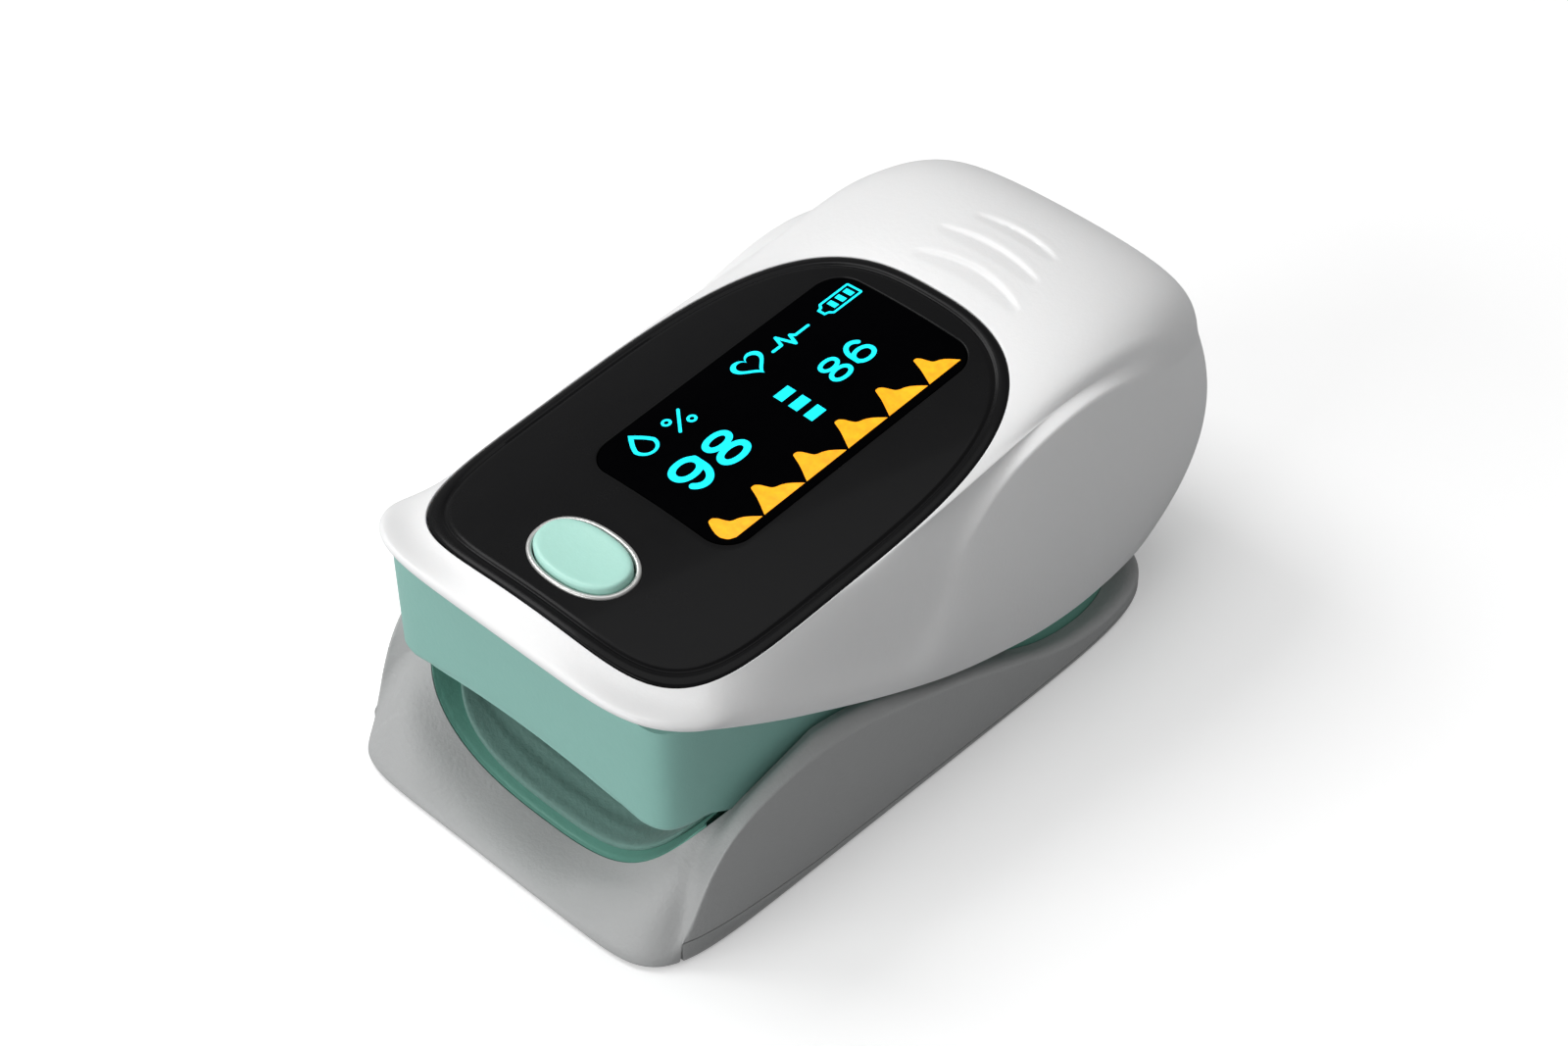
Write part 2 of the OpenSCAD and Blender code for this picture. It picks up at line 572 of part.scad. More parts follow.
module main_board() color([0.08, 0.32, 0.2]) on_top() difference() {
  slab(0.8, -4.05) intersection() {
    bezel_plan(2.0);
    band(-24.6, 39.6);
  }
  at_points([[-11, -22], [11, -22]], -5) cylinder(r = 0.8, h = 3, $fn = 32);
}
module processor_chip() color([0.08, 0.08, 0.09]) on_top()
  translate([3.4, -22.8, -4.95]) cube([5, 3.4, 0.88]);
module small_components() color([0.7, 0.6, 0.4]) on_top() {
  // two rows under the front of the board
  for (i = [0:4]) translate([-8+1.6*i, -22.9, -4.65]) cube([1, 0.6, 0.58]);
  for (i = [0:3]) translate([-9+1.8*i, -21.2, -4.65]) cube([1.2, 0.7, 0.58]);
  // a row along each side on top
  for (x = [11.2, -11.8]) for (i = [0:5])
    translate([x, -13+3*i, part_base]) cube([0.6, 1.1, 0.5]);
}
module tact_switch() color([0.15, 0.15, 0.16]) on_top() translate([0, -button_front, 0])
  difference() {
    mid_box([4.4, 3.2, 1.1], -1.6, part_base);
    translate([0, 0, -3.1]) cylinder(r = 0.9, h = 3, $fn = 32);
  }
module switch_plunger() color([0.85, 0.85, 0.8]) on_top()
  translate([0, -button_front, -2.7]) cylinder(r = 0.84, h = 1, $fn = 32);
module oled_panel() color([0.05, 0.05, 0.07]) on_top() mid_box([16, 29.2, 1.3], -15.2, -3.22);
module display_flex() color([0.8, 0.55, 0.2]) on_top() mid_box([8, 0.9, 0.15], 15.24, -3.2);

// ---- bezel and button, in top-face coordinates -----------------------
ring_outer = 0.42; // growth of the ring's outside over the button outline

module window_plan(gap = 0) translate([0, 0.4])
  round_rect(window_width-2*gap, window_length-2*gap, window_corner-gap);
// Egg-shaped button outline, a little wider toward the rear
module button_plan(grow = 0) translate([0, -button_front]) polygon([for (i = [0:47]) let(
    a = 7.5*i,
    r = super_radius(a, (4.38+grow)*(1+0.05*sin(a)), 2.73+grow, 2.25))
  [r*cos(a), r*sin(a)]]);

module bezel_gasket() color([0.15, 0.15, 0.15]) on_top() intersection() {
  difference() {
    below_crown(bezel_thick+0.03);
    below_crown(bezel_thick+0.22);
  }
  slab(8, -6) difference() {
    bezel_plan(0.3);
    bezel_plan(1.1);
  }
}
module display_bezel() color([0.07, 0.07, 0.08]) on_top() difference() {
  intersection() {
    slab(9, -6) bezel_plan();
    difference() {
      below_crown();
      below_crown(bezel_thick);
    }
  }
  slab(6, -3) window_plan();
  slab(6, -3) button_plan(ring_outer+0.03);
}
module display_lens() color([0.02, 0.02, 0.03]) on_top() intersection() {
  slab(6, -1.4) window_plan(0.05);
  below_crown(0.02);
}
// Ring in the bezel's hole, with a flange under the bezel
module button_ring() color([0.7, 0.71, 0.71]) on_top() difference() {
  intersection() {
    union() {
      difference() {
        slab(3, -bezel_thick) button_plan(ring_outer);
        below_crown(bezel_thick+0.1);
      }
      difference() {
        slab(3, -bezel_thick-1) button_plan(1.1);
        slab(3.2, -bezel_thick-1.1) button_plan(0.2);
        below_crown(bezel_thick+0.3);
        // everything above the flange
        difference() {
          mid_box([20, 40, 6], -40, -3);
          below_crown(bezel_thick+0.03);
        }
      }
    }
    below_crown(-0.12);
  }
  slab(6, -3) button_plan();
}
module power_button() color([0.7, 0.89, 0.84]) on_top() union() {
  slab(1.0+button_rise, -1.0) button_plan(-button_gap);
  translate([0, -button_front, -1.68]) cylinder(r = 1.2, h = 0.7, $fn = 32);
}

lower_shell();
base_cover();
cover_screws();
lower_frame();
lower_finger_pad();
detector_board();
photodiode();
detector_window();
sensor_cable();
hinge_pins();
return_springs();
upper_shell();
upper_frame();
upper_finger_pad();
emitter_board();
emitter_leds();
emitter_window();
frame_screws();
battery_holder();
battery_cells();
battery_springs();
battery_contacts();
battery_link();
battery_door();
main_board();
processor_chip();
small_components();
tact_switch();
switch_plunger();
oled_panel();
display_flex();
bezel_gasket();
display_bezel();
display_lens();
button_ring();
power_button();
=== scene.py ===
# Fingertip pulse oximeter: a sprung clamp with a display and a button on top.
# X runs across, the finger opening faces -Y, the battery hatch faces +Y, the base is at Z = 0.
# Shapes are worked out in millimetres and turned into metres when a mesh is made.
import bmesh
import bpy
import math
import numpy as np
from contextlib import contextmanager
from mathutils import Matrix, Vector
from mathutils.geometry import tessellate_polygon


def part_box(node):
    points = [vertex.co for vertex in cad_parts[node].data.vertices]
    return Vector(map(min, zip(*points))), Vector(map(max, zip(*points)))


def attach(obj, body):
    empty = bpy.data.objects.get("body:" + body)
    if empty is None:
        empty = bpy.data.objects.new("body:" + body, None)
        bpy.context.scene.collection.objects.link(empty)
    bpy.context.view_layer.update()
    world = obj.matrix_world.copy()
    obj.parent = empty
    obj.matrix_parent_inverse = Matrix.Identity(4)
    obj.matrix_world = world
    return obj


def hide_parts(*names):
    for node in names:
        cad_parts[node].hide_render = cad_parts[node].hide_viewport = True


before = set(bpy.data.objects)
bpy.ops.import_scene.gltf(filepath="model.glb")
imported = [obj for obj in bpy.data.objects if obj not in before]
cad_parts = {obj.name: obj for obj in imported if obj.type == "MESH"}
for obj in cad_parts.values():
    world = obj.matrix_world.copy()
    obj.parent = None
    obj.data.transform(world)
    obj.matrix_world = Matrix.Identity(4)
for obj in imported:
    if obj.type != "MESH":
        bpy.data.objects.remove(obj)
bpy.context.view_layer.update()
MM = 0.001

# ---------------------------------------------------------------- driving sizes (millimetres)
HALF_WIDTH = 17.75       # of both shells
FRONT = 31.2             # reach of the lower shell toward -Y
REAR = 35.0              # reach of the upper shell toward +Y
RIM_FRONT = 28.5         # reach of the upper shell's rim toward -Y
WALL = 1.3
TOP_Z = 25.6             # height of the sloping top face at the origin
SLOPE = 0.08             # rise of the top face toward the rear
SLOPE_ANGLE = math.atan(SLOPE)
CROWN_RADIUS = 71.0      # of the top face, across X
LIP_Z = 22.2             # upper shell over the finger opening
RIM_Z = 6.2              # lower rim of the upper shell at the rear
LOWER_MID = -3           # y of the middle of the lower shell's plan
BEZEL_HALF_WIDTH, BEZEL_FRONT, BEZEL_REAR = 15.2, 25.8, 16.9
BEZEL_GAP = 0.05
BUTTON_Y = 20.2          # distance of the button's middle toward -Y
HATCH_Z = 18.6
PAD_HOLE_RADIUS = 2.75
PAD_RIB_PITCH = 1.7

# Side views of the main lines, as (y, z) stations.
RIM_CURVE = [
    (-30, LIP_Z + 0.1), (-28, LIP_Z - 0.1), (-22.9, 20.5), (-15.8, 17), (-8.3, 13.2),
    (-2.4, 10.5), (1.6, 9), (5.8, 7.8), (10, RIM_Z + 0.6), (14, RIM_Z + 0.1), (18, RIM_Z),
    (34, RIM_Z)]
CREASE_CURVE = [
    (-30, LIP_Z + 0.8), (-26, 22.3), (-20, 20.2), (-12, 16.6), (-6.5, 14.4), (-3.6, 14.6),
    (-0.5, 17.6), (3.2, 20.9), (7.3, 23.3), (11, 24.4), (15, 24.9), (19, 24.6), (24, 23.2),
    (30, 20.9), (36, 20)]
LOWER_SIDE_CURVE = [
    (-32, 0.85), (-29.5, 0.95), (-28.4, 1.6), (-27.4, 3.4), (-26.4, 5.7), (-25.2, 7.9),
    (-23.6, 9.7), (-21.6, 10.9), (-19.4, 11.6), (-16.2, 12.1), (-13.2, 12.1), (-9.9, 11.6),
    (-5.7, 10.4), (-1.4, 8.9), (3, 7.2), (7.6, 5.2), (12.3, 3.2), (17, 2.1), (22, 1.75),
    (28, 1.7)]


# ---------------------------------------------------------------- shape functions
def lerp(a, b, t):
    return a + (b - a) * t


def ease(start, end, x):
    """Smooth step from 0 at start to 1 at end. It falls with x where end < start."""
    t = np.clip((np.asarray(x, float) - start) / (end - start), 0, 1)
    return t * t * (3 - 2 * t)


def turn(count):
    """Even angles round a full turn."""
    return np.linspace(0, 2 * np.pi, count + 1)[:-1]


def corner_turn(count):
    """Angles round a full turn, crowded toward the four corners."""
    angle = turn(count)
    return angle + np.radians(10) * np.sin(4 * angle)


def points(x, y, z):
    """Stacks coordinates as (..., 3). x and z may be single numbers."""
    shape = np.shape(y)
    return np.stack([np.broadcast_to(x, shape), y, np.broadcast_to(z, shape)], -1).astype(float)


def oval(angle, half_width, front, rear, powers, mid=0):
    """Superellipse in plan. The halves before and behind y = mid have their own powers."""
    c, s = np.cos(angle), np.sin(angle)
    depth = np.where(s < 0, mid - front, rear - mid)
    power = np.where(s < 0, *powers)
    r = 1 / (np.abs(c) ** power + np.abs(s) ** power) ** (1 / power)
    return r * c * half_width, mid + r * s * depth


def curve(stations, y):
    """Smooth curve through (y, z) stations, level beyond both ends."""
    ys, zs = np.array(stations, float).T
    y = np.clip(np.asarray(y, float), ys[0], ys[-1])
    slope = np.empty(len(ys))
    slope[1:-1] = (zs[2:] - zs[:-2]) / (ys[2:] - ys[:-2])
    slope[0] = (zs[1] - zs[0]) / (ys[1] - ys[0])
    slope[-1] = (zs[-1] - zs[-2]) / (ys[-1] - ys[-2])
    i = np.clip(np.searchsorted(ys, y, side="right") - 1, 0, len(ys) - 2)
    span = ys[i + 1] - ys[i]
    t = (y - ys[i]) / span
    return ((2 * t**3 - 3 * t**2 + 1) * zs[i] + (t**3 - 2 * t**2 + t) * span * slope[i]
            + (-2 * t**3 + 3 * t**2) * zs[i + 1] + (t**3 - t**2) * span * slope[i + 1])


def top_z(x, y):
    """Sloping crowned top face."""
    return TOP_Z + SLOPE * y - x * x / (2 * CROWN_RADIUS)


def dome_z(x, y):
    """Top face with the raised rear."""
    return top_z(x, y) + 2.4 * ease(12, 27, y)


def crown_z(x, depth=0.0):
    """Height in the top face's own frame, depth below its crown."""
    return np.sqrt(CROWN_RADIUS**2 - np.asarray(x, float) ** 2) - CROWN_RADIUS - depth


def lay_on_top(ring):
    """Moves points from the sloping top face's frame to the product's."""
    moved = ring.copy()
    c, s = math.cos(SLOPE_ANGLE), math.sin(SLOPE_ANGLE)
    moved[..., 1] = ring[..., 1] * c - ring[..., 2] * s
    moved[..., 2] = TOP_Z + ring[..., 1] * s + ring[..., 2] * c
    return moved


def bezel_outline(angle, inset, gap=0.0):
    return oval(angle, BEZEL_HALF_WIDTH + gap - inset, mid=-8, front=-BEZEL_FRONT - gap + inset,
                rear=BEZEL_REAR + gap - inset, powers=(5, 3))


def rim_line(angle):
    """Lower edge of the upper shell."""
    x, y = oval(angle, HALF_WIDTH - 0.15, front=-RIM_FRONT, rear=REAR - 3.8, powers=(6, 5))
    return points(x, y, curve(RIM_CURVE, y))


def crease_line(angle):
    """Line where the side of the upper shell turns into its top."""
    x, y = oval(angle, HALF_WIDTH, front=-28.4, rear=REAR - 0.2, powers=(6, 6.5))
    narrowing = lerp(0.35, 1.7, ease(-6, 8, y))
    return points(x * (1 - narrowing / HALF_WIDTH), y, curve(CREASE_CURVE, y))


def seat_line(angle):
    """Edge of the opening that holds the bezel."""
    x, y = bezel_outline(angle, 0, BEZEL_GAP)
    return points(x, y, top_z(x, y))


def side_point(angle, t):
    """Side of the upper shell: t = 0 on the rim, 1 on the crease."""
    rim, crease = rim_line(angle), crease_line(angle)
    x, y = oval(angle, HALF_WIDTH + 0.7, front=-28.6, rear=REAR + 2.2, powers=(6, 6.5))
    handle = points(x, y, lerp(rim[..., 2], crease[..., 2], 0.42))
    return (1 - t) ** 2 * rim + 2 * t * (1 - t) * handle + t * t * crease


def top_point(angle, t):
    """Top of the upper shell: t = 0 on the crease, 1 at the bezel's seat."""
    crease, seat = crease_line(angle), seat_line(angle)
    x, y, z = crease.T
    domed = ease(-5, 6, y)
    weight = domed[..., None]
    bulge = ease(-4, 5, y) * ease(29, 19, y)
    rise = points(-x * (0.01 + 0.12 * bulge), -np.maximum(0, y) * 0.006,
                  0.72 * (1 - 0.4 * bulge) * np.maximum(0, dome_z(x, y) - z))
    handle_1 = crease + weight * rise + (1 - weight) * (seat - crease) * 0.3
    share = lerp(0.42, 0.55, domed)
    hx, hy = lerp(seat[..., 0], x, share), lerp(seat[..., 1], y, share)
    handle_2 = points(hx, hy, lerp(top_z(hx, hy) - 0.25, dome_z(hx, hy), domed))
    return ((1 - t) ** 3 * crease + 3 * t * (1 - t) ** 2 * handle_1
            + 3 * t * t * (1 - t) * handle_2 + t**3 * seat)


def inset_upper(ring, wall, drop=0.0):
    """Scales a ring of the upper shell inward by the wall and lowers it."""
    inner = ring.copy()
    y = ring[..., 1]
    inner[..., 0] *= (HALF_WIDTH - wall) / HALF_WIDTH
    inner[..., 1] = np.where(y < 0, y * (RIM_FRONT - wall) / RIM_FRONT, y * (REAR - wall) / REAR)
    inner[..., 2] -= drop
    return inner


def shrink_lower(x, y, inset, depth=28):
    """Scales a plan inward about the middle of the lower shell. depth is its half length."""
    return x * (1 - inset / HALF_WIDTH), LOWER_MID + (y - LOWER_MID) * (1 - inset / depth)


def trough_z(x):
    """Cross-section of the finger trough."""
    return 1.4 + 7.3 * (np.abs(x) / 14.5) ** 2.8


def scoop_z(x, y):
    """Finger trough, rising toward the rear."""
    return trough_z(x) + 0.1 * (y + 26)


# ---------------------------------------------------------------- mesh helpers
@contextmanager
def editing(ob):
    bm = bmesh.new()
    bm.from_mesh(ob.data)
    yield bm
    bm.to_mesh(ob.data)
    bm.free()


def make(name, verts, faces, material, smooth=True):
    mesh = bpy.data.meshes.new(name)
    mesh.from_pydata((np.asarray(verts, float) * MM).tolist(), [], faces)
    mesh.validate()
    mesh.update()
    ob = bpy.data.objects.new(name, mesh)
    bpy.context.scene.collection.objects.link(ob)
    if material:
        mesh.materials.append(material)
    mesh.polygons.foreach_set("use_smooth", [smooth] * len(mesh.polygons))
    return ob


def make_solid(*args):
    """Mesh with faces outward, from the sign of the enclosed volume."""
    ob = make(*args)
    with editing(ob) as bm:
        if bm.calc_volume(signed=True) < 0:
            bmesh.ops.reverse_faces(bm, faces=bm.faces[:])
    return ob


def loft(name, rings, material, torus=False):
    """Solid through rings of equal length. torus joins the last to the first, else both
    ends are capped."""
    rings = np.array(rings, float)
    rows, n = rings.shape[:2]
    verts = rings.reshape(-1, 3)
    faces = []
    for j in range(rows if torus else rows - 1):
        a, b = j * n, ((j + 1) % rows) * n
        for i in range(n):
            k = (i + 1) % n
            faces.append((a + i, b + i, b + k, a + k))
    if not torus:
        first, last = rows * n, rows * n + 1
        verts = np.vstack([verts, rings[0].mean(0), rings[-1].mean(0)])
        for i in range(n):
            k = (i + 1) % n
            faces.append((i, k, first))
            faces.append(((rows - 1) * n + k, (rows - 1) * n + i, last))
    return make_solid(name, verts, faces, material)


def sheet(name, top, bottom, material):
    """Closed slab between two equal grids of points."""
    rows, cols = top.shape[:2]
    verts = np.vstack([top.reshape(-1, 3), bottom.reshape(-1, 3)])
    below = rows * cols
    faces = []
    for i in range(rows - 1):
        for j in range(cols - 1):
            a = i * cols + j
            quad = (a, a + 1, a + cols + 1, a + cols)
            faces.append(quad)
            faces.append(tuple(below + quad[k] for k in (0, 3, 2, 1)))
    edge = ([(0, j) for j in range(cols)] + [(i, cols - 1) for i in range(1, rows)]
            + [(rows - 1, j) for j in range(cols - 2, -1, -1)]
            + [(i, 0) for i in range(rows - 2, 0, -1)])
    ids = [i * cols + j for i, j in edge]
    for a, b in zip(ids, ids[1:] + ids[:1]):
        faces.append((b, a, below + a, below + b))
    return make_solid(name, verts, faces, material)


def blur(profiles, sigmas):
    """Spaces each profile [:, i] evenly, then softens it along its length by sigmas[i] mm."""
    count = len(profiles)
    result = np.empty_like(profiles)
    for i, sigma in enumerate(sigmas):
        line = profiles[:, i]
        run = np.r_[0, np.cumsum(np.linalg.norm(np.diff(line, axis=0), axis=1))]
        even = np.linspace(0, run[-1], count)
        line = np.stack([np.interp(even, run, line[:, c]) for c in range(3)], -1)
        spread = float(sigma) / (run[-1] / (count - 1))
        if spread > 0.3:
            reach = int(min(count - 1, max(2, 3 * spread)))
            kernel = np.exp(-0.5 * (np.arange(-reach, reach + 1) / spread) ** 2)
            kernel /= kernel.sum()
            # mirrored ends, so that the first and last points hardly move before they are pinned
            long = np.vstack([2 * line[0] - line[reach:0:-1], line,
                              2 * line[-1] - line[-2:-reach - 2:-1]])
            soft = np.stack([np.convolve(long[:, c], kernel, mode="valid") for c in range(3)], -1)
            soft[0], soft[-1] = line[0], line[-1]
            line = soft
        result[:, i] = line
    return result


def prism(outline, z0, z1, place=lambda verts: verts):
    """Straight prism over a plan outline, used as a cutter."""
    outline = np.asarray(outline, float)
    n = len(outline)
    verts = np.vstack([np.c_[outline, np.full(n, z)] for z in (z0, z1)])
    faces = [tuple(range(n - 1, -1, -1)), tuple(range(n, 2 * n))]
    faces += [(i, (i + 1) % n, n + (i + 1) % n, n + i) for i in range(n)]
    return make_solid("cutter", place(verts), faces, None, False)


def cut(ob, cutter, operation="DIFFERENCE"):
    """Applies a boolean and deletes the cutter."""
    modifier = ob.modifiers.new("cut", "BOOLEAN")
    modifier.operation = operation
    modifier.object = cutter
    modifier.solver = "EXACT"
    bpy.context.view_layer.update()
    graph = bpy.context.evaluated_depsgraph_get()
    mesh = bpy.data.meshes.new_from_object(ob.evaluated_get(graph))
    old_meshes = (ob.data, cutter.data)
    ob.modifiers.clear()
    ob.data = mesh
    bpy.data.objects.remove(cutter)
    for old in old_meshes:
        bpy.data.meshes.remove(old)


def finish_piece(ob, smooth_angle, body, replaces=None):
    """Smooth shading up to an angle in degrees, then the piece's place in the frame."""
    limit = math.radians(smooth_angle)
    with editing(ob) as bm:
        for edge in bm.edges:
            edge.smooth = len(edge.link_faces) == 2 and edge.calc_face_angle(0) < limit
        for face in bm.faces:
            face.smooth = True
    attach(ob, body)
    if replaces:
        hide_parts(replaces)


# ---------------------------------------------------------------- materials
def srgb(*rgb):
    """Linear colour from 8-bit sRGB."""
    def linear(value):
        value /= 255.0
        return value / 12.92 if value <= 0.04045 else ((value + 0.055) / 1.055) ** 2.4
    return tuple(linear(value) for value in rgb) + (1,)


def tint(color, gain, lift=0.0):
    return tuple(min(1, c * gain + lift) for c in color[:3]) + (1,)


def feed(value, socket):
    """Links an output to the socket, or sets a plain value on it."""
    if isinstance(value, bpy.types.NodeSocket):
        socket.id_data.links.new(value, socket)
    else:
        socket.default_value = value


class Surface:
    """Principled material with uneven colour and gloss and a fine bump.

    vary and rough_vary set how much colour and roughness wander, the scales set how finely,
    edge paints a highlight on convex edges by lightening their colour, and brushed adds fine
    parallel lines.
    """

    def __init__(self, name, rgb, rough=0.4, metal=0.0, specular=0.5, coat=0.0, coat_rough=0.1,
                 vary=0.06, vary_scale=60.0, bump=0.02, bump_scale=2500.0, rough_vary=0.08,
                 subsurface=0.0, sheen=0.0, transmit=0.0, edge=0.0, brushed=None):
        self.material = bpy.data.materials.new(name)
        self.material.use_nodes = True
        self.nodes = self.material.node_tree.nodes
        self.bsdf = self.nodes["Principled BSDF"]
        self.position = self.node("ShaderNodeTexCoord").outputs["Object"]
        color = srgb(*rgb)
        patches = self.noise(scale=vary_scale, detail=3, rough=0.6)
        self.color = self.mix(color, tint(color, 1 + 2 * vary, 0.01 * vary), patches)
        specks = self.noise(scale=vary_scale * 18, detail=2, rough=0.5)
        self.color = self.mix_part(self.color, tint(color, 1 - vary), specks, 0.5)
        # painted highlight: convex edges are lightened in the base colour, as if they catch the
        # light
        if edge > 0:
            geometry = self.node("ShaderNodeNewGeometry")
            convex = self.node("ShaderNodeMapRange", {
                "From Min": 0.5, "From Max": 0.62, "Value": geometry.outputs["Pointiness"]})
            painted_edge_highlight = tint(color, 1.25, 0.03)
            self.color = self.mix_part(self.color, painted_edge_highlight, convex.outputs["Result"], edge)
        gloss = self.node("ShaderNodeMapRange", {
            "To Min": max(0.02, rough - rough_vary), "To Max": min(1, rough + rough_vary)})
        feed(self.noise(scale=vary_scale * 4, detail=4, rough=0.6), gloss.inputs["Value"])
        self.set({"Base Color": self.color, "Roughness": gloss.outputs["Result"],
                  "Metallic": metal, "Specular IOR Level": specular, "IOR": 1.45,
                  "Coat Weight": coat, "Coat Roughness": coat_rough,
                  "Transmission Weight": transmit, "Sheen Weight": sheen})
        if subsurface:
            self.set({"Subsurface Weight": subsurface, "Subsurface Scale": 1.0,
                      "Subsurface Radius": (0.0012, 0.001, 0.0009)})
        grain = self.node("ShaderNodeBump", {"Strength": bump, "Distance": 0.0004})
        feed(self.noise(scale=bump_scale, detail=3, rough=0.55), grain.inputs["Height"])
        self.set({"Normal": grain.outputs["Normal"]})
        if brushed:
            self.brush(grain.outputs["Normal"], **brushed)

    def node(self, kind, inputs=None, **settings):
        node = self.nodes.new(kind)
        for key, value in settings.items():
            setattr(node, key, value)
        for key, value in (inputs or {}).items():
            feed(value, node.inputs[key])
        return node

    def set(self, inputs):
        """Feeds inputs of the principled shader."""
        for key, value in inputs.items():
            feed(value, self.bsdf.inputs[key])

    def noise(self, scale, detail, rough):
        return self.node("ShaderNodeTexNoise", {
            "Scale": scale, "Detail": detail, "Roughness": rough,
            "Vector": self.position}).outputs["Fac"]

    def calc(self, operation, a, b):
        return self.node("ShaderNodeMath", {0: a, 1: b}, operation=operation).outputs[0]

    def mix(self, a, b, factor):
        return self.node("ShaderNodeMix", {"A": a, "B": b, "Factor": factor},
                         data_type="RGBA").outputs["Result"]

    def mix_part(self, a, b, factor, amount):
        return self.mix(a, b, self.calc("MULTIPLY", factor, amount))

    def brush(self, normal, axis, scale, strength):
        lines = self.node("ShaderNodeTexWave", {
            "Scale": scale, "Distortion": 2.5, "Detail": 3, "Vector": self.position},
            bands_direction=axis)
        relief = self.node("ShaderNodeBump", {
            "Strength": strength, "Distance": 0.0001, "Height": lines.outputs["Fac"],
            "Normal": normal})
        self.set({"Normal": relief.outputs["Normal"]})


SURFACES = {
    "white_shell": dict(
        rgb=(238, 238, 238), rough=0.34, specular=0.45, vary=0.012, bump=0.05, bump_scale=2600,
        rough_vary=0.05, subsurface=0.06, coat=0.12, coat_rough=0.25),
    "grey_shell": dict(
        rgb=(172, 173, 173), rough=0.46, specular=0.4, vary=0.03, bump=0.14, bump_scale=3000,
        rough_vary=0.06, edge=0.15),
    "grey_cover": dict(
        rgb=(163, 164, 164), rough=0.5, specular=0.4, vary=0.035, bump=0.16, bump_scale=2800,
        rough_vary=0.06, edge=0.15),
    "teal_frame_lower": dict(
        rgb=(104, 160, 145), rough=0.42, specular=0.42, vary=0.05, bump=0.1, bump_scale=2600,
        rough_vary=0.07, subsurface=0.04, edge=0.2),
    "teal_frame_upper": dict(
        rgb=(142, 192, 182), rough=0.38, specular=0.45, vary=0.035, bump=0.08, bump_scale=2600,
        rough_vary=0.06, subsurface=0.06, edge=0.15),
    "silicone": dict(
        rgb=(108, 144, 136), rough=0.55, specular=0.35, vary=0.06, bump=0.25, bump_scale=1800,
        rough_vary=0.08, subsurface=0.2, sheen=0.25),
    "black_gloss": dict(
        rgb=(14, 14, 15), rough=0.26, specular=0.1, vary=0.1, bump=0.006, bump_scale=700,
        rough_vary=0.05, coat=0.05, coat_rough=0.06),
    "display_lens": dict(
        rgb=(2, 2, 3), rough=0.2, specular=0.0, vary=0.15, bump=0.004, bump_scale=600,
        rough_vary=0.04),
    "mint_plastic": dict(
        rgb=(178, 228, 215), rough=0.36, specular=0.45, vary=0.02, bump=0.06, bump_scale=2400,
        rough_vary=0.05, subsurface=0.1, coat=0.15, coat_rough=0.2),
    "satin_metal": dict(
        rgb=(196, 196, 194), rough=0.28, metal=0.55, vary=0.04, bump=0.03, bump_scale=3000,
        rough_vary=0.06, brushed=dict(axis="Y", scale=2400, strength=0.05)),
    "steel": dict(
        rgb=(176, 176, 178), rough=0.3, metal=1.0, vary=0.05, bump=0.04,
        brushed=dict(axis="X", scale=3000, strength=0.12)),
    "spring_steel": dict(
        rgb=(165, 166, 170), rough=0.26, metal=1.0, bump=0.05, bump_scale=3000,
        brushed=dict(axis="Z", scale=3500, strength=0.1)),
    "plated_contact": dict(
        rgb=(205, 198, 176), rough=0.25, metal=1.0, vary=0.05, bump=0.04, bump_scale=2800),
    "black_plastic": dict(
        rgb=(44, 46, 48), rough=0.5, vary=0.1, bump=0.18, bump_scale=2400, edge=0.3),
    "ivory_plastic": dict(
        rgb=(226, 222, 208), rough=0.45, vary=0.04, bump=0.08, bump_scale=2400),
    "dark_chip": dict(
        rgb=(34, 35, 38), rough=0.55, vary=0.12, bump=0.2, bump_scale=4000, edge=0.3),
    "flex_circuit": dict(
        rgb=(196, 128, 52), rough=0.3, vary=0.1, bump=0.05, bump_scale=3000, coat=0.4),
    "foam": dict(rgb=(38, 38, 39), rough=0.85, vary=0.2, bump=0.8, bump_scale=3500),
    "component_ceramic": dict(
        rgb=(186, 165, 132), rough=0.45, vary=0.2, vary_scale=900, bump=0.1, bump_scale=4000),
    "led_lens": dict(
        rgb=(214, 96, 84), rough=0.15, vary=0.08, vary_scale=500, bump_scale=1500, coat=0.6),
    "red_filter": dict(
        rgb=(150, 28, 26), rough=0.1, bump=0.01, bump_scale=900, coat=0.6, transmit=0.35),
    "clear_window": dict(
        rgb=(208, 222, 220), rough=0.08, vary=0.03, bump=0.01, bump_scale=900, coat=0.6,
        transmit=0.5),
    "display_glass": dict(
        rgb=(12, 12, 16), rough=0.12, vary=0.2, bump=0.005, bump_scale=600, coat=0.5),
}


def board_material():
    """Green board with paler cells that suggest copper fields."""
    surface = Surface("circuit_board", (18, 92, 52), rough=0.32, vary=0.12, bump=0.05, coat=0.4)
    cells = surface.node("ShaderNodeTexVoronoi", {"Scale": 700, "Vector": surface.position},
                         feature="DISTANCE_TO_EDGE")
    lines = surface.node("ShaderNodeMapRange", {
        "From Min": 0.03, "From Max": 0.06, "To Min": 1, "To Max": 0,
        "Value": cells.outputs["Distance"]})
    surface.set({"Base Color": surface.mix_part(
        surface.color, srgb(46, 138, 84), lines.outputs["Result"], amount=0.7)})
    return surface.material


def cell_material():
    """Blue jacket that turns to plain steel past y = 0."""
    surface = Surface("cell_jacket", (60, 96, 140), rough=0.3, metal=0.35, vary=0.05,
                      bump_scale=2000, coat=0.5)
    axes = surface.node("ShaderNodeSeparateXYZ", {0: surface.position})
    band = surface.node("ShaderNodeMapRange", {
        "From Min": 0.0, "From Max": 0.0005, "Value": axes.outputs["Y"]})
    surface.set({"Base Color": surface.mix_part(
        surface.color, srgb(196, 198, 202), band.outputs["Result"], amount=0.8)})
    return surface.material


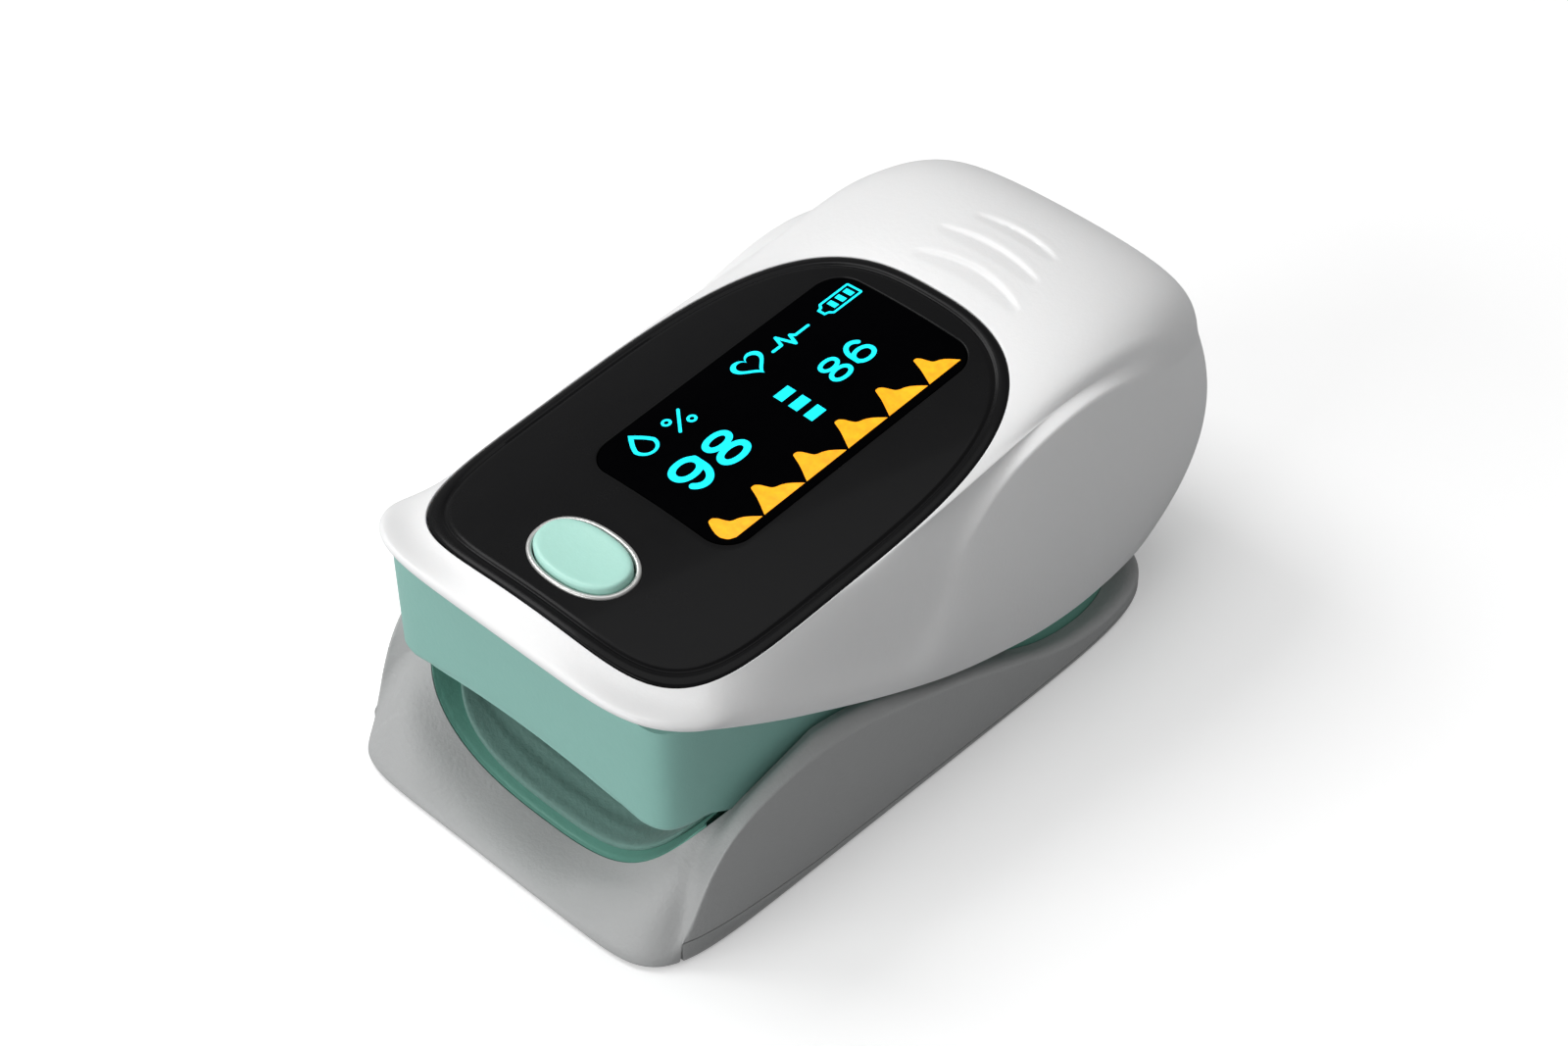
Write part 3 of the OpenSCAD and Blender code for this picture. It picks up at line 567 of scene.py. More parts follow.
def glow(name, rgb):
    """Lit display segment with a slightly grainy emission and a glossy face."""
    surface = Surface(name, rgb, rough=0.2, vary=0.03, bump=0.004, bump_scale=600, coat=0.3)
    grain = surface.noise(scale=900, detail=2, rough=0.5)
    strength = surface.node("ShaderNodeMapRange", {
        "To Min": 0.86, "To Max": 1.1, "Value": grain})
    surface.set({"Emission Color": srgb(*rgb), "Emission Strength": strength.outputs["Result"]})
    dark = tint(srgb(*rgb), 0.15)
    surface.set({"Base Color": surface.mix_part(surface.color, dark, grain, amount=0.9)})
    return surface


def amber_material():
    surface = glow("display_amber", (255, 172, 12))
    patches = surface.noise(scale=1500, detail=3, rough=0.6)
    surface.set({"Emission Color": surface.mix(
        srgb(226, 112, 2), srgb(255, 186, 14), patches)})
    return surface.material


MATS = {name: Surface(name, **look).material for name, look in SURFACES.items()}
MATS["circuit_board"] = board_material()
MATS["cell_jacket"] = cell_material()
MATS["display_cyan"] = glow("display_cyan", (0, 232, 255)).material
MATS["display_amber"] = amber_material()

# Material of each piece in the frame.
PART_MATERIALS = {
    "lower_shell": "grey_shell", "base_cover": "grey_cover", "cover_screws": "steel",
    "lower_frame": "teal_frame_lower", "lower_finger_pad": "silicone",
    "detector_board": "circuit_board", "photodiode": "dark_chip",
    "detector_window": "red_filter", "sensor_cable": "flex_circuit", "hinge_pins": "steel",
    "return_springs": "spring_steel", "upper_shell": "white_shell",
    "upper_frame": "teal_frame_upper", "upper_finger_pad": "silicone",
    "emitter_board": "circuit_board", "emitter_leds": "led_lens",
    "emitter_window": "clear_window", "frame_screws": "steel",
    "battery_holder": "black_plastic", "battery_cells": "cell_jacket",
    "battery_springs": "spring_steel", "battery_contacts": "plated_contact",
    "battery_link": "plated_contact", "battery_door": "white_shell",
    "main_board": "circuit_board", "processor_chip": "dark_chip",
    "small_components": "component_ceramic", "tact_switch": "black_plastic",
    "switch_plunger": "ivory_plastic", "oled_panel": "display_glass",
    "display_flex": "flex_circuit", "bezel_gasket": "foam", "display_bezel": "black_gloss",
    "display_lens": "display_lens", "button_ring": "satin_metal",
    "power_button": "mint_plastic",
}
for part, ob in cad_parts.items():
    ob.data.materials.clear()
    ob.data.materials.append(MATS[PART_MATERIALS[part]])

# ---------------------------------------------------------------- upper shell and hatch
UPPER_ANGLES = corner_turn(640)
# Crescent grips: middle x, rear edge y, half width, sag of the edge, length of the fall
GRIPS = ((1.55, 19.95, 5.3, 1.15, 1.2), (1.1, 22.6, 5.1, 0.8, 1.1), (1.5, 25.25, 4.1, 0.65, 0.85))
GRIP_DEPTH = 0.2
HATCH_RIDGE_ZS = (15.6, 17.4, 19.2, 21.0)
# Bezel seat, from the top edge inward and down: inset, depth below the top face
SEAT_STEPS = ((0.0, 0.0), (0.04, 0.02), (0.07, 0.07), (0.08, 0.3), (0.08, 1.33), (0.6, 1.34),
              (1.2, 1.36), (1.22, 2.35))
# Rim, from the inner edge out: share of the wall inward, height above the rim line
RIM_STEPS = ((1.0, 0.25), (0.93, 0.066), (0.8, -0.03), (0.2, -0.03), (0.07, 0.018))
# Hatch: half the distance between the end arcs' middles, their radius, gap round the hatch
HATCH_HALF_SPAN, HATCH_RADIUS, HATCH_GAP = 5.35, 5.85, 0.13
HATCH_CUT = (24, 44)     # reach of the cutters along y


def grip_relief(x, y):
    """Grips on the rear of the top: a gentle fall toward +Y, then a steep rise."""
    relief = np.zeros(x.shape)
    for mid_x, edge_y, half_width, sag, length in GRIPS:
        q = (x - mid_x) / half_width
        fade = np.sqrt(np.clip(1 - q * q, 0, None))
        ahead = (edge_y - sag * q * q) - y
        fall = 1 - np.clip(ahead / (length * fade + 0.3), 0, 1)
        fall = np.where(fall < 0.2, 2.5 * fall * fall, fall - 0.1) / 0.9
        wall = ease(-0.34, 0.0, ahead)
        lip = np.exp(-((ahead + 0.6) / 0.28) ** 2)
        relief += fade * (-GRIP_DEPTH * np.where(ahead > 0, fall, wall) + 0.02 * lip)
    return relief


def upper_skin():
    """Outer skin rings from the rim up to the bezel's seat, with grips and hatch ridges."""
    side = [side_point(UPPER_ANGLES, t) for t in np.linspace(0, 1, 60)]
    top = [top_point(UPPER_ANGLES, t) for t in np.linspace(0, 1, 180)[1:]]
    y = crease_line(UPPER_ANGLES)[:, 1]
    softness = 0.13 + 1.1 * ease(-25, -20, y) * ease(1, -6, y) + 0.5 * ease(28, 34, y)
    skin = blur(np.array(side + top), softness)
    x, y, z = np.moveaxis(skin, -1, 0).copy()
    skin[..., 2] += grip_relief(x, y) * (z > 24)
    z = skin[..., 2]
    ridges = np.zeros(y.shape)
    for ridge_z in HATCH_RIDGE_ZS:
        ridges += 0.22 * np.exp(-((z - ridge_z) / 0.32) ** 2) * ease(5.6, 4.6, np.abs(x))
    skin[..., 1] += np.where(y > 30, ridges, 0)
    return skin


def upper_shell_rings():
    rings = list(upper_skin()[:-1])
    for inset, depth in SEAT_STEPS:
        x, y = bezel_outline(UPPER_ANGLES, inset, BEZEL_GAP)
        rings.append(points(x, y, top_z(x, y) - depth))
    # inner surface, back down to the rim
    for t in (0.8, 0.6, 0.4, 0.2, 0.0):
        rings.append(inset_upper(top_point(UPPER_ANGLES, t), WALL, lerp(1.6, 2.4, t)))
    rim = rim_line(UPPER_ANGLES)
    crease_z = crease_line(UPPER_ANGLES)[..., 2]
    inner_rim = inset_upper(rim, WALL)
    inner_rim[..., 2] = np.minimum(inner_rim[..., 2], crease_z - 1.5)
    inner_side = inset_upper(side_point(UPPER_ANGLES, 0.5), WALL)
    inner_side[..., 2] = lerp(inner_rim[..., 2], crease_z - 1.6, 0.45)
    rings += [inner_side, lerp(inner_side, inner_rim, 0.6)]
    for share, lift in RIM_STEPS:
        ring = lerp(rim, inner_rim, share)
        ring[..., 2] = np.minimum(rim[..., 2], crease_z - 0.5) + lift
        rings.append(ring)
    return rings


def hatch_cutter(gap):
    """Prism along y over an upright outline with round ends."""
    t = np.linspace(-np.pi / 2, np.pi / 2, 49)
    r = HATCH_RADIUS - gap
    right = np.c_[HATCH_HALF_SPAN + r * np.cos(t), r * np.sin(t)]
    left = np.c_[-HATCH_HALF_SPAN - r * np.cos(t), -r * np.sin(t)]

    def stand(verts):
        return np.c_[verts[:, 0], verts[:, 2], HATCH_Z + verts[:, 1]]

    return prism(np.vstack([right, left]), *HATCH_CUT, stand)


def build_upper_shell_and_hatch():
    """The hatch is made from the same wall as the opening it closes."""
    white = MATS["white_shell"]
    shell = loft("upper_shell_skin", upper_shell_rings(), white, torus=True)
    door = bpy.data.objects.new("battery_door_skin", shell.data.copy())
    bpy.context.scene.collection.objects.link(door)
    cut(shell, hatch_cutter(0.0))
    cut(door, hatch_cutter(HATCH_GAP), "INTERSECT")
    for ob in (shell, door):
        # the boolean may leave a mesh without its material
        if len(ob.data.materials) == 0:
            ob.data.materials.append(white)
    finish_piece(shell, 38, "upper_half", "upper_shell")
    finish_piece(door, 38, "battery_hatch")

    # frame-shaped rib on the inside of the hatch: inset, y
    rings = []
    for inset, y in ((0.0, 29.3), (0.0, 34.2), (0.75, 34.2), (0.75, 29.3)):
        x, z = oval(turn(128), 8.9 - inset, mid=HATCH_Z, front=14.7 + inset, rear=22.5 - inset,
                    powers=(12, 12))
        rings.append(points(x, np.full_like(x, y), z))
    rib = loft("hatch_rib", rings, white, torus=True)
    finish_piece(rib, 40, "battery_hatch")
    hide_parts("battery_door")


# ---------------------------------------------------------------- lower shell and base cover
LOWER_ANGLES = corner_turn(720)
# Lower edge of the shell: inset and height at the front lip, inset and height elsewhere
LOWER_EDGE_STEPS = ((0.55, 0.0, 0.13, 0.0), (0.2, 0.12, 0.05, 0.04), (0.05, 0.3, 0.0, 0.11),
                    (0.0, 0.5, 0.0, 0.2))
LOWER_INNER_Z = 0.75
# Base cover: inset, height of the level rings on the underside
COVER_UNDERSIDE = ((14.0, 0), (6.0, 0), (1.0, 0), (0.5, 0), (0.22, 0.1), (0.05, 0.3))
# inset, depth below the parting edge
COVER_EDGE = ((0.0, 0.5), (0.0, 0.09), (0.04, 0.03), (0.12, 0), (1.9, 0))
COVER_TOP_Z = 0.58
COVER_TOP_INSETS = (2.25, 9.0)
COVER_FRONT_Y = -27.97
SCREW_PLACES = ((-12.4, -17), (12.4, -17), (-11.6, 6.5), (11.6, 6.5))
# Screw hole, then its counterbore: radius, top of the cut
SCREW_CUTS = ((0.95, 2.0), (1.75, 0.38))
LABEL_RECESS = dict(width=15, length=11, radius=1.5, mid_y=-5)
LABEL_RECESS_DEPTH = 0.14


def lower_outline():
    return oval(LOWER_ANGLES, HALF_WIDTH, mid=LOWER_MID, front=-FRONT, rear=27.2,
                powers=(9, 6.5))


def parting_z(y):
    """Height of the joint between shell and cover."""
    return np.interp(y, [-28, -15, 6, 28], [2.2, 1.0, 0.65, 0.65])


def lower_inner_edge():
    """Inner edge of the lower shell's upper band."""
    x, y = oval(LOWER_ANGLES, 15.5, mid=LOWER_MID, front=-26.2, rear=24.1, powers=(7, 6))
    x, y = x * (1 + 0.04 * ease(2, 11, y)), y + 0.6 * ease(12, 20, y)
    behind = np.minimum(trough_z(x) + 0.25 * (y + 21), curve(LOWER_SIDE_CURVE, y) + 0.1)
    return points(x, y, np.where(y < -21, trough_z(x), behind))


def build_lower_shell():
    x, y = lower_outline()
    over_cover = ease(-28.25, -27.95, y)
    bottom_z = over_cover * parting_z(y)
    rings = []
    for lip_inset, lip_z, inset, z in LOWER_EDGE_STEPS:
        ring_x, ring_y = shrink_lower(x, y, lerp(lip_inset, inset, over_cover))
        rings.append(points(ring_x, ring_y, bottom_z + lerp(lip_z, z, over_cover)))
    base = rings.pop()
    side, edge = points(x, y, curve(LOWER_SIDE_CURVE, y)), lower_inner_edge()
    wall = [base] + [lerp(base, side, t) for t in np.linspace(0, 1, 30)[1:]]
    shoulder = ease(5, 12.5, np.abs(x)) * ease(0, -10, y)
    for t in np.linspace(0, 1, 60)[1:]:
        band = lerp(side, edge, t)
        band[..., 2] += 0.35 * np.sin(np.pi * t) * (1 - t)
        band[..., 2] += 0.5 * shoulder * float(ease(0.0, 0.5, t) * ease(1.0, 0.55, t))
        wall.append(band)
    rings += list(blur(np.array(wall), 0.14 + 0.32 * ease(-23, -28, y) + 0.12 * ease(10, 20, y)))
    # inner wall, down and back under to the lower edge
    edge_x, edge_y, edge_z = edge.T
    rings.append(points(*shrink_lower(edge_x, edge_y, 0.05, depth=26), edge_z - 0.06))
    inner = shrink_lower(edge_x, edge_y, 0.06, depth=26)
    rings.append(points(*inner, np.maximum(edge_z - 0.5, lerp(edge_z, LOWER_INNER_Z, 0.4))))
    rings.append(points(*inner, LOWER_INNER_Z))
    rings.append(points(edge_x, edge_y, lerp(0.05, 0.7, over_cover)))
    rings.append(points(lerp(edge_x, x, 0.75), lerp(edge_y, y, 0.75), bottom_z))
    shell = loft("lower_shell_skin", rings, MATS["grey_shell"], torus=True)
    finish_piece(shell, 50, "lower_half", "lower_shell")


def cover_ring(inset, level=None, below=0.0):
    """Ring of the base cover, level or below its parting edge."""
    x, y = shrink_lower(*lower_outline(), inset)
    y = np.maximum(y, COVER_FRONT_Y + inset)
    if level is None:
        edge_z = np.where(np.abs(x) > 15.7 - inset, parting_z(y) - 0.045, COVER_TOP_Z)
        level = np.maximum(0.4, edge_z - below)
    return points(x, y, level)


def circle(mid_x, mid_y, radius):
    t = turn(64)
    return np.c_[mid_x + radius * np.cos(t), mid_y + radius * np.sin(t)]


def rounded_rect(width, length, radius, mid_y):
    quarter = np.linspace(0, np.pi / 2, 12)
    corners = []
    for k, (sx, sy) in enumerate(((1, 1), (-1, 1), (-1, -1), (1, -1))):
        t = quarter + k * np.pi / 2
        corners.append(np.c_[sx * (width / 2 - radius) + radius * np.cos(t),
                             mid_y + sy * (length / 2 - radius) + radius * np.sin(t)])
    return np.vstack(corners)


def build_base_cover():
    rings = [cover_ring(inset, level=z) for inset, z in COVER_UNDERSIDE]
    rings += [cover_ring(inset, below=depth) for inset, depth in COVER_EDGE]
    rings += [cover_ring(inset, level=COVER_TOP_Z) for inset in COVER_TOP_INSETS]
    cover = loft("base_cover_skin", rings, MATS["grey_cover"])
    for place in SCREW_PLACES:
        for radius, cut_top in SCREW_CUTS:
            cut(cover, prism(circle(*place, radius), -1, cut_top))
    cut(cover, prism(rounded_rect(**LABEL_RECESS), -1, LABEL_RECESS_DEPTH))
    finish_piece(cover, 35, "lower_half", "base_cover")


# ---------------------------------------------------------------- upper jaw wall
JAW_ANGLES = corner_turn(560)
# Rounded lower edge, from outside in: inset, height above the edge line
JAW_EDGE_STEPS = ((0.0, 0.75), (0.0, 0.42), (0.06, 0.2), (0.2, 0.06), (0.42, -0.02), (0.7, 0.02),
                  (0.95, 0.12), (1.05, 0.35))
JAW_WALL = 1.05


def jaw_outline(inset):
    return oval(JAW_ANGLES, 15.23 - inset, mid=LOWER_MID, front=-27.03 + inset,
                rear=23.1 - inset, powers=(14, 5))


def build_jaw_wall():
    x, y = jaw_outline(0)
    side_z = np.interp(y, [-23.2, -19.5, -6, 0, 8, 24], [10.6, 8.6, 4.9, 4.6, 4.9, 5.6])
    arch_z = 10.6 + 1.3 * (1 - np.clip(np.abs(x) / 12.2, 0, 1) ** 2.2)
    lower_z = np.where(y < -23.2, arch_z, side_z)
    upper_z = np.interp(y, [-28, -20, -15.8, -8, 2, 24], [24.0, 19.5, 17.6, 14.3, 12.3, 12.3])
    # stay inside the upper shell
    upper_z = np.minimum(upper_z, top_z(x, y) - lerp(1.4, 2.6, ease(-24, -18, y)))
    rim_z = curve(RIM_CURVE, y)
    upper_z = np.minimum(upper_z, rim_z + 1.4 + 3 * ease(-26, -20, y) + 2.5 * ease(2, 10, y))
    edge = [points(*jaw_outline(inset), lower_z + z) for inset, z in JAW_EDGE_STEPS]
    outer = [lerp(points(x, y, upper_z), edge[0], t) for t in (0, 0.25, 0.5, 0.75)]
    inner = points(*jaw_outline(JAW_WALL), upper_z)
    jaw = loft("jaw_wall_skin", outer + edge + [inner], MATS["teal_frame_upper"], torus=True)
    finish_piece(jaw, 55, "upper_half")


# ---------------------------------------------------------------- lower scoop surface
SCOOP_REAR_Y = -6.0
SCOOP_THICKNESS = 0.45
SCOOP_LIP_RADIUS = 0.5


def build_scoop():
    across = np.linspace(-1, 1, 161)
    across = np.sign(across) * np.abs(across) ** 0.92
    across, along = np.meshgrid(across, np.linspace(0, 1, 90) ** 1.25)
    bow = (1 - np.clip(np.abs(across * 14.7) / 15.45, 0, 1) ** 7) ** (1 / 7)
    front_y = LOWER_MID - 23.15 * bow
    y = front_y + (SCOOP_REAR_Y - front_y) * along
    x = across * lerp(14.75, 13.88, ease(-22.9, -22.3, y))
    ceiling = np.interp(y, [-27, -23, -20, -6], [10.3, 10.3, 8.2, 6.6]) + 0.05
    z = np.minimum(scoop_z(x, y) + 0.05, ceiling)
    r = SCOOP_LIP_RADIUS
    from_lip = np.clip(y - front_y, 0, r)
    z = z - (r - np.sqrt(r * r - (r - from_lip) ** 2)) * 0.7
    bottom_z = np.maximum(z - SCOOP_THICKNESS, LOWER_INNER_Z)
    scoop = sheet("scoop_skin", points(x, y, z), points(x, y, bottom_z),
                  MATS["teal_frame_lower"])
    finish_piece(scoop, 50, "lower_half")


# ---------------------------------------------------------------- silicone finger pads
PAD_ANGLES = turn(280)
LOWER_HOLE_Y, UPPER_HOLE_Y = -10, -11.3
# Rounded edges of the lower pad: share of the way to the hole, height above the scoop
LOWER_PAD_OUTER = [(0.0, 0.08), (0.0, 0.3), (0.004, 0.42), (0.015, 0.5), (0.035, 0.53)]
LOWER_PAD_INNER = [(0.992, 0.95), (1.0, 0.75), (1.0, 0.08)]
# Upper pad, in the top face's frame: height of its back
UPPER_PAD_BACK_Z = -15.7
# share of the way to the hole, lift of the face
UPPER_PAD_OUTER = [(0.01, 0.22), (0.03, 0.08)]
UPPER_PAD_INNER = [(0.985, 0.1), (1.0, 0.3)]


def toward_hole(x, y, hole_y, share):
    """Outline moved a share of the way to the pad's hole."""
    return (lerp(x, PAD_HOLE_RADIUS * np.cos(PAD_ANGLES), share),
            lerp(y, hole_y + PAD_HOLE_RADIUS * np.sin(PAD_ANGLES), share))


def build_lower_pad():
    low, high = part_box("lower_finger_pad")
    half_width = high.x / MM
    x, y = oval(PAD_ANGLES, half_width, mid=-10, front=low.y / MM - 0.9, rear=1.2,
                powers=(5.5, 4))
    x = x * lerp(13.3 / half_width, 1.0, ease(-21, -17.5, y))
    face = [(share, 0.55 + 0.55 * float(ease(0.05, 0.4, share)))
            for share in [*np.linspace(0.06, 0.93, 44), 0.955, 0.98]]
    rings = []
    for share, height in LOWER_PAD_OUTER + face + LOWER_PAD_INNER:
        px, py = toward_hole(x, y, LOWER_HOLE_Y, share)
        ribs = 0.072 * np.sin((py + 24) * 2 * np.pi / PAD_RIB_PITCH)
        ribs = ribs * ease(0.05, 0.12, share) * ease(0.99, 0.9, share)
        rings.append(points(px, py, scoop_z(px, py) + height + ribs))
    for share in (0.8, 0.5, 0.2):
        px, py = toward_hole(x, y, LOWER_HOLE_Y, share)
        rings.append(points(px, py, scoop_z(px, py) + 0.08))
    pad = loft("lower_pad_skin", rings, MATS["silicone"], torus=True)
    finish_piece(pad, 60, "lower_half", "lower_finger_pad")


def build_upper_pad():
    x, y = oval(PAD_ANGLES, 11.2, mid=-10, front=-19.4, rear=-0.6, powers=(4, 4))
    rings = [points(x, y, UPPER_PAD_BACK_Z), points(x, y, -16.1)]
    face = [(share, 0.0) for share in [*np.linspace(0.06, 0.93, 36), 0.96]]
    for share, lift in UPPER_PAD_OUTER + face + UPPER_PAD_INNER:
        px, py = toward_hole(x, y, UPPER_HOLE_Y, share)
        face_z = np.maximum(-46.2 + np.sqrt(30**2 - px * px), -16.88)
        ribs = 0.07 * np.sin((py + 20) * 2 * np.pi / PAD_RIB_PITCH)
        ribs = ribs * ease(0.04, 0.1, share) * ease(0.99, 0.92, share)
        rings.append(points(px, py, face_z + lift + np.abs(ribs)))
    for share in (1.0, 0.7, 0.35):
        rings.append(points(*toward_hole(x, y, UPPER_HOLE_Y, share), UPPER_PAD_BACK_Z))
    rings = [lay_on_top(ring) for ring in rings]
    pad = loft("upper_pad_skin", rings, MATS["silicone"], torus=True)
    finish_piece(pad, 60, "upper_half", "upper_finger_pad")


# ---------------------------------------------------------------- bezel, lens, button and ring
BEZEL_ANGLES = corner_turn(640)
WINDOW_Y = 0.4
WINDOW_HALF_WIDTH, WINDOW_HALF_LENGTH, WINDOW_CORNER = 7.5, 13.5, 2.4
BEZEL_DEPTH = 1.1
# Outer edge and shallow groove of the bezel: inset, depth below the crown
BEZEL_EDGE_STEPS = (
    (0.03, BEZEL_DEPTH), (0.0, 1.0), (0.0, 0.3), (0.02, 0.14), (0.09, 0.04), (0.22, 0.0),
    (0.5, -0.03), (0.78, -0.02), (0.9, 0.05), (0.98, 0.12), (1.08, 0.12), (1.16, 0.05),
    (1.3, 0.0), (1.5, 0.0))
BEZEL_WINDOW_STEPS = ((-0.06, 0.01), (-0.02, 0.05), (0.0, 0.2), (0.0, BEZEL_DEPTH))
# Lens, from below: share of the full outline, inset, depth below the crown
LENS_STEPS = [(0.5, 0.06, 1.38), (1, 0.06, 1.38), (1, 0.05, 0.12), (1, 0.08, 0.045),
              (1, 0.16, 0.02)]
LENS_STEPS += [(share, 0.16, 0.02) for share in (0.85, 0.7, 0.55, 0.4, 0.25, 0.1)]
# Metal ring, once round its section: growth of the button outline, height from the crown
RING_STEPS = (
    (0.21, -1.2), (0.21, -1.95), (0.3, -2.02), (1.04, -2.02), (1.1, -1.95), (1.1, -1.3),
    (1.08, -1.22), (1.0, -1.16), (0.42, -1.15), (0.42, 0.02), (0.39, 0.1), (0.32, 0.15),
    (0.22, 0.16), (0.12, 0.15), (0.05, 0.1), (0.01, 0.0), (0.01, -1.12), (0.1, -1.16))
# Button stem: share of its radius, height in the top face's frame
STEM_RADIUS = 1.2
STEM_STEPS = ((0.5, -1.68), (0.93, -1.68), (1.0, -1.62), (1.0, -1.05), (1.06, -1.0))
# Button cap: growth of the outline, height
CAP_STEPS = ((-0.12, -1.0), (-0.12, 0.2), (-0.15, 0.33), (-0.23, 0.43), (-0.36, 0.485),
             (-0.55, 0.5))


def window_outline(theta, inset):
    """Rounded window outline in direction theta from its middle."""
    half_x, half_y = WINDOW_HALF_WIDTH - inset, WINDOW_HALF_LENGTH - inset
    radius = WINDOW_CORNER - inset * 0.5
    c, s = np.cos(theta), np.sin(theta)
    abs_c, abs_s = np.abs(c), np.abs(s)
    reach = np.minimum(half_x / np.maximum(abs_c, 1e-9), half_y / np.maximum(abs_s, 1e-9))
    corner_x, corner_y = half_x - radius, half_y - radius
    in_corner = (np.abs(reach * c) > corner_x) & (np.abs(reach * s) > corner_y)
    # where the ray meets the corner circle
    along = abs_c * corner_x + abs_s * corner_y
    rest = corner_x**2 + corner_y**2 - radius**2
    reach = np.where(in_corner, along + np.sqrt(np.maximum(along * along - rest, 0)), reach)
    return reach * c, WINDOW_Y + reach * s


def button_outline(growth, share=1.0):
    """Egg-shaped outline of the button, grown by a length and then scaled."""
    a = turn(160)
    half_width = (4.38 + growth) * (1 + 0.05 * np.sin(a))
    power = 2.25
    r = 1 / (np.abs(np.cos(a) / half_width) ** power
             + np.abs(np.sin(a) / (2.73 + growth)) ** power) ** (1 / power)
    return r * np.cos(a) * share, r * np.sin(a) * share - BUTTON_Y


def on_crown(x, y, depth):
    return lay_on_top(points(x, y, crown_z(x, depth)))


def build_bezel():
    x, y = bezel_outline(BEZEL_ANGLES, 0.0)
    theta = np.arctan2(y - WINDOW_Y, x)
    rings = [on_crown(*bezel_outline(BEZEL_ANGLES, inset), depth)
             for inset, depth in BEZEL_EDGE_STEPS]
    x, y = bezel_outline(BEZEL_ANGLES, BEZEL_EDGE_STEPS[-1][0])
    window_x, window_y = window_outline(theta, -0.12)
    for share in np.linspace(0, 1, 26)[1:]:
        rings.append(on_crown(lerp(x, window_x, share), lerp(y, window_y, share), 0.0))
    rings += [on_crown(*window_outline(theta, inset), depth)
              for inset, depth in BEZEL_WINDOW_STEPS]
    # underside
    window_x, window_y = window_outline(theta, 0.0)
    x, y = bezel_outline(BEZEL_ANGLES, 0.03)
    for share in (0.35, 0.7):
        rings.append(on_crown(lerp(window_x, x, share), lerp(window_y, y, share), BEZEL_DEPTH))
    bezel = loft("bezel_skin", rings, MATS["black_gloss"], torus=True)
    cut(bezel, prism(np.c_[button_outline(0.46)], -3, 2, lay_on_top))
    finish_piece(bezel, 45, "upper_half", "display_bezel")


def build_lens():
    rings = []
    for share, inset, depth in LENS_STEPS:
        x, y = window_outline(turn(400), inset)
        rings.append(on_crown(x * share, WINDOW_Y + (y - WINDOW_Y) * share, depth))
    lens = loft("lens_skin", rings, MATS["display_lens"])
    finish_piece(lens, 45, "upper_half", "display_lens")


def build_button_ring():
    rings = [on_crown(*button_outline(growth), -z) for growth, z in RING_STEPS]
    ring = loft("button_ring_skin", rings, MATS["satin_metal"], torus=True)
    finish_piece(ring, 45, "upper_half", "button_ring")


def build_button():
    """Stem below, cap above, with a slightly dished face."""
    t = turn(160)
    rings = []
    for share, z in STEM_STEPS:
        r = STEM_RADIUS * share
        rings.append(points(r * np.cos(t), r * np.sin(t) - BUTTON_Y, z))
    rings += [points(*button_outline(growth), z) for growth, z in CAP_STEPS]
    edge_growth, edge_z = CAP_STEPS[-1]
    for share in (0.9, 0.75, 0.6, 0.45, 0.3, 0.15, 0.05):
        dished_z = edge_z - 0.1 * (1 - share * share)
        rings.append(points(*button_outline(edge_growth, share), dished_z))
    button = loft("power_button_skin", [lay_on_top(r) for r in rings], MATS["mint_plastic"])
    finish_piece(button, 45, "power_key", "power_button")


# ---------------------------------------------------------------- lit graphics on the display
# Display coordinates: u reads toward the rear, v is up the page, toward -X.
INLAY_THICKNESS = 0.05
# Digits: name ending, character, left foot u, width, height, stroke, lift off the lens
DIGITS = (("a", "9", -10.65, 2.95, 3.5, 0.6, 0.012), ("b", "8", -7.15, 3.0, 3.5, 0.6, 0.013),
          ("c", "8", 4.45, 2.15, 2.6, 0.4, 0.012), ("d", "6", 7.05, 2.15, 2.6, 0.4, 0.013))
DIGIT_V = -1.75
BAR_VS = (0.3, -1.25, -2.8)
# Battery sign: left u, bottom v, width, height, stroke
BATTERY_U, BATTERY_V, BATTERY_W, BATTERY_H, BATTERY_STROKE = 9.75, 3.95, 3.5, 1.7, 0.2
DROPLET_U, DROPLET_V, DROPLET_RADIUS = -9.3, 4.9, 1.15
HEART_U, HEART_V = 1.9, 5.0
PULSE_LINE = ((4.0, 4.6), (4.9, 4.6), (5.25, 5.6), (5.75, 3.9), (6.15, 4.95), (6.4, 4.6),
              (7.8, 4.6))
# One hump of the wave as (u, v). The first hump has another rise before the shared fall.
HUMP_COUNT, HUMP_PITCH, HUMP_U, HUMP_V = 6, 4.4, -12.95, -6.75
HUMP_RISE = [(0.0, 0.0), (0.26, 0.5), (0.53, 1.0), (0.82, 1.6), (1.02, 2.15), (1.16, 2.54)]
FIRST_RISE = [(1.5, 0.0), (0.95, 0.25), (0.68, 0.75), (0.66, 1.2), (0.85, 1.85), (1.15, 2.5)]
HUMP_FALL = [(1.56, 2.52), (1.84, 2.2), (2.04, 1.74), (2.22, 1.4), (2.48, 1.24), (2.84, 1.14),
             (3.24, 0.92), (3.64, 0.58), (4.04, 0.18), (4.2, 0.0)]


def on_display(u, v, lift):
    x = -v
    return lay_on_top(points(x, u, crown_z(x, 0.02) + lift))


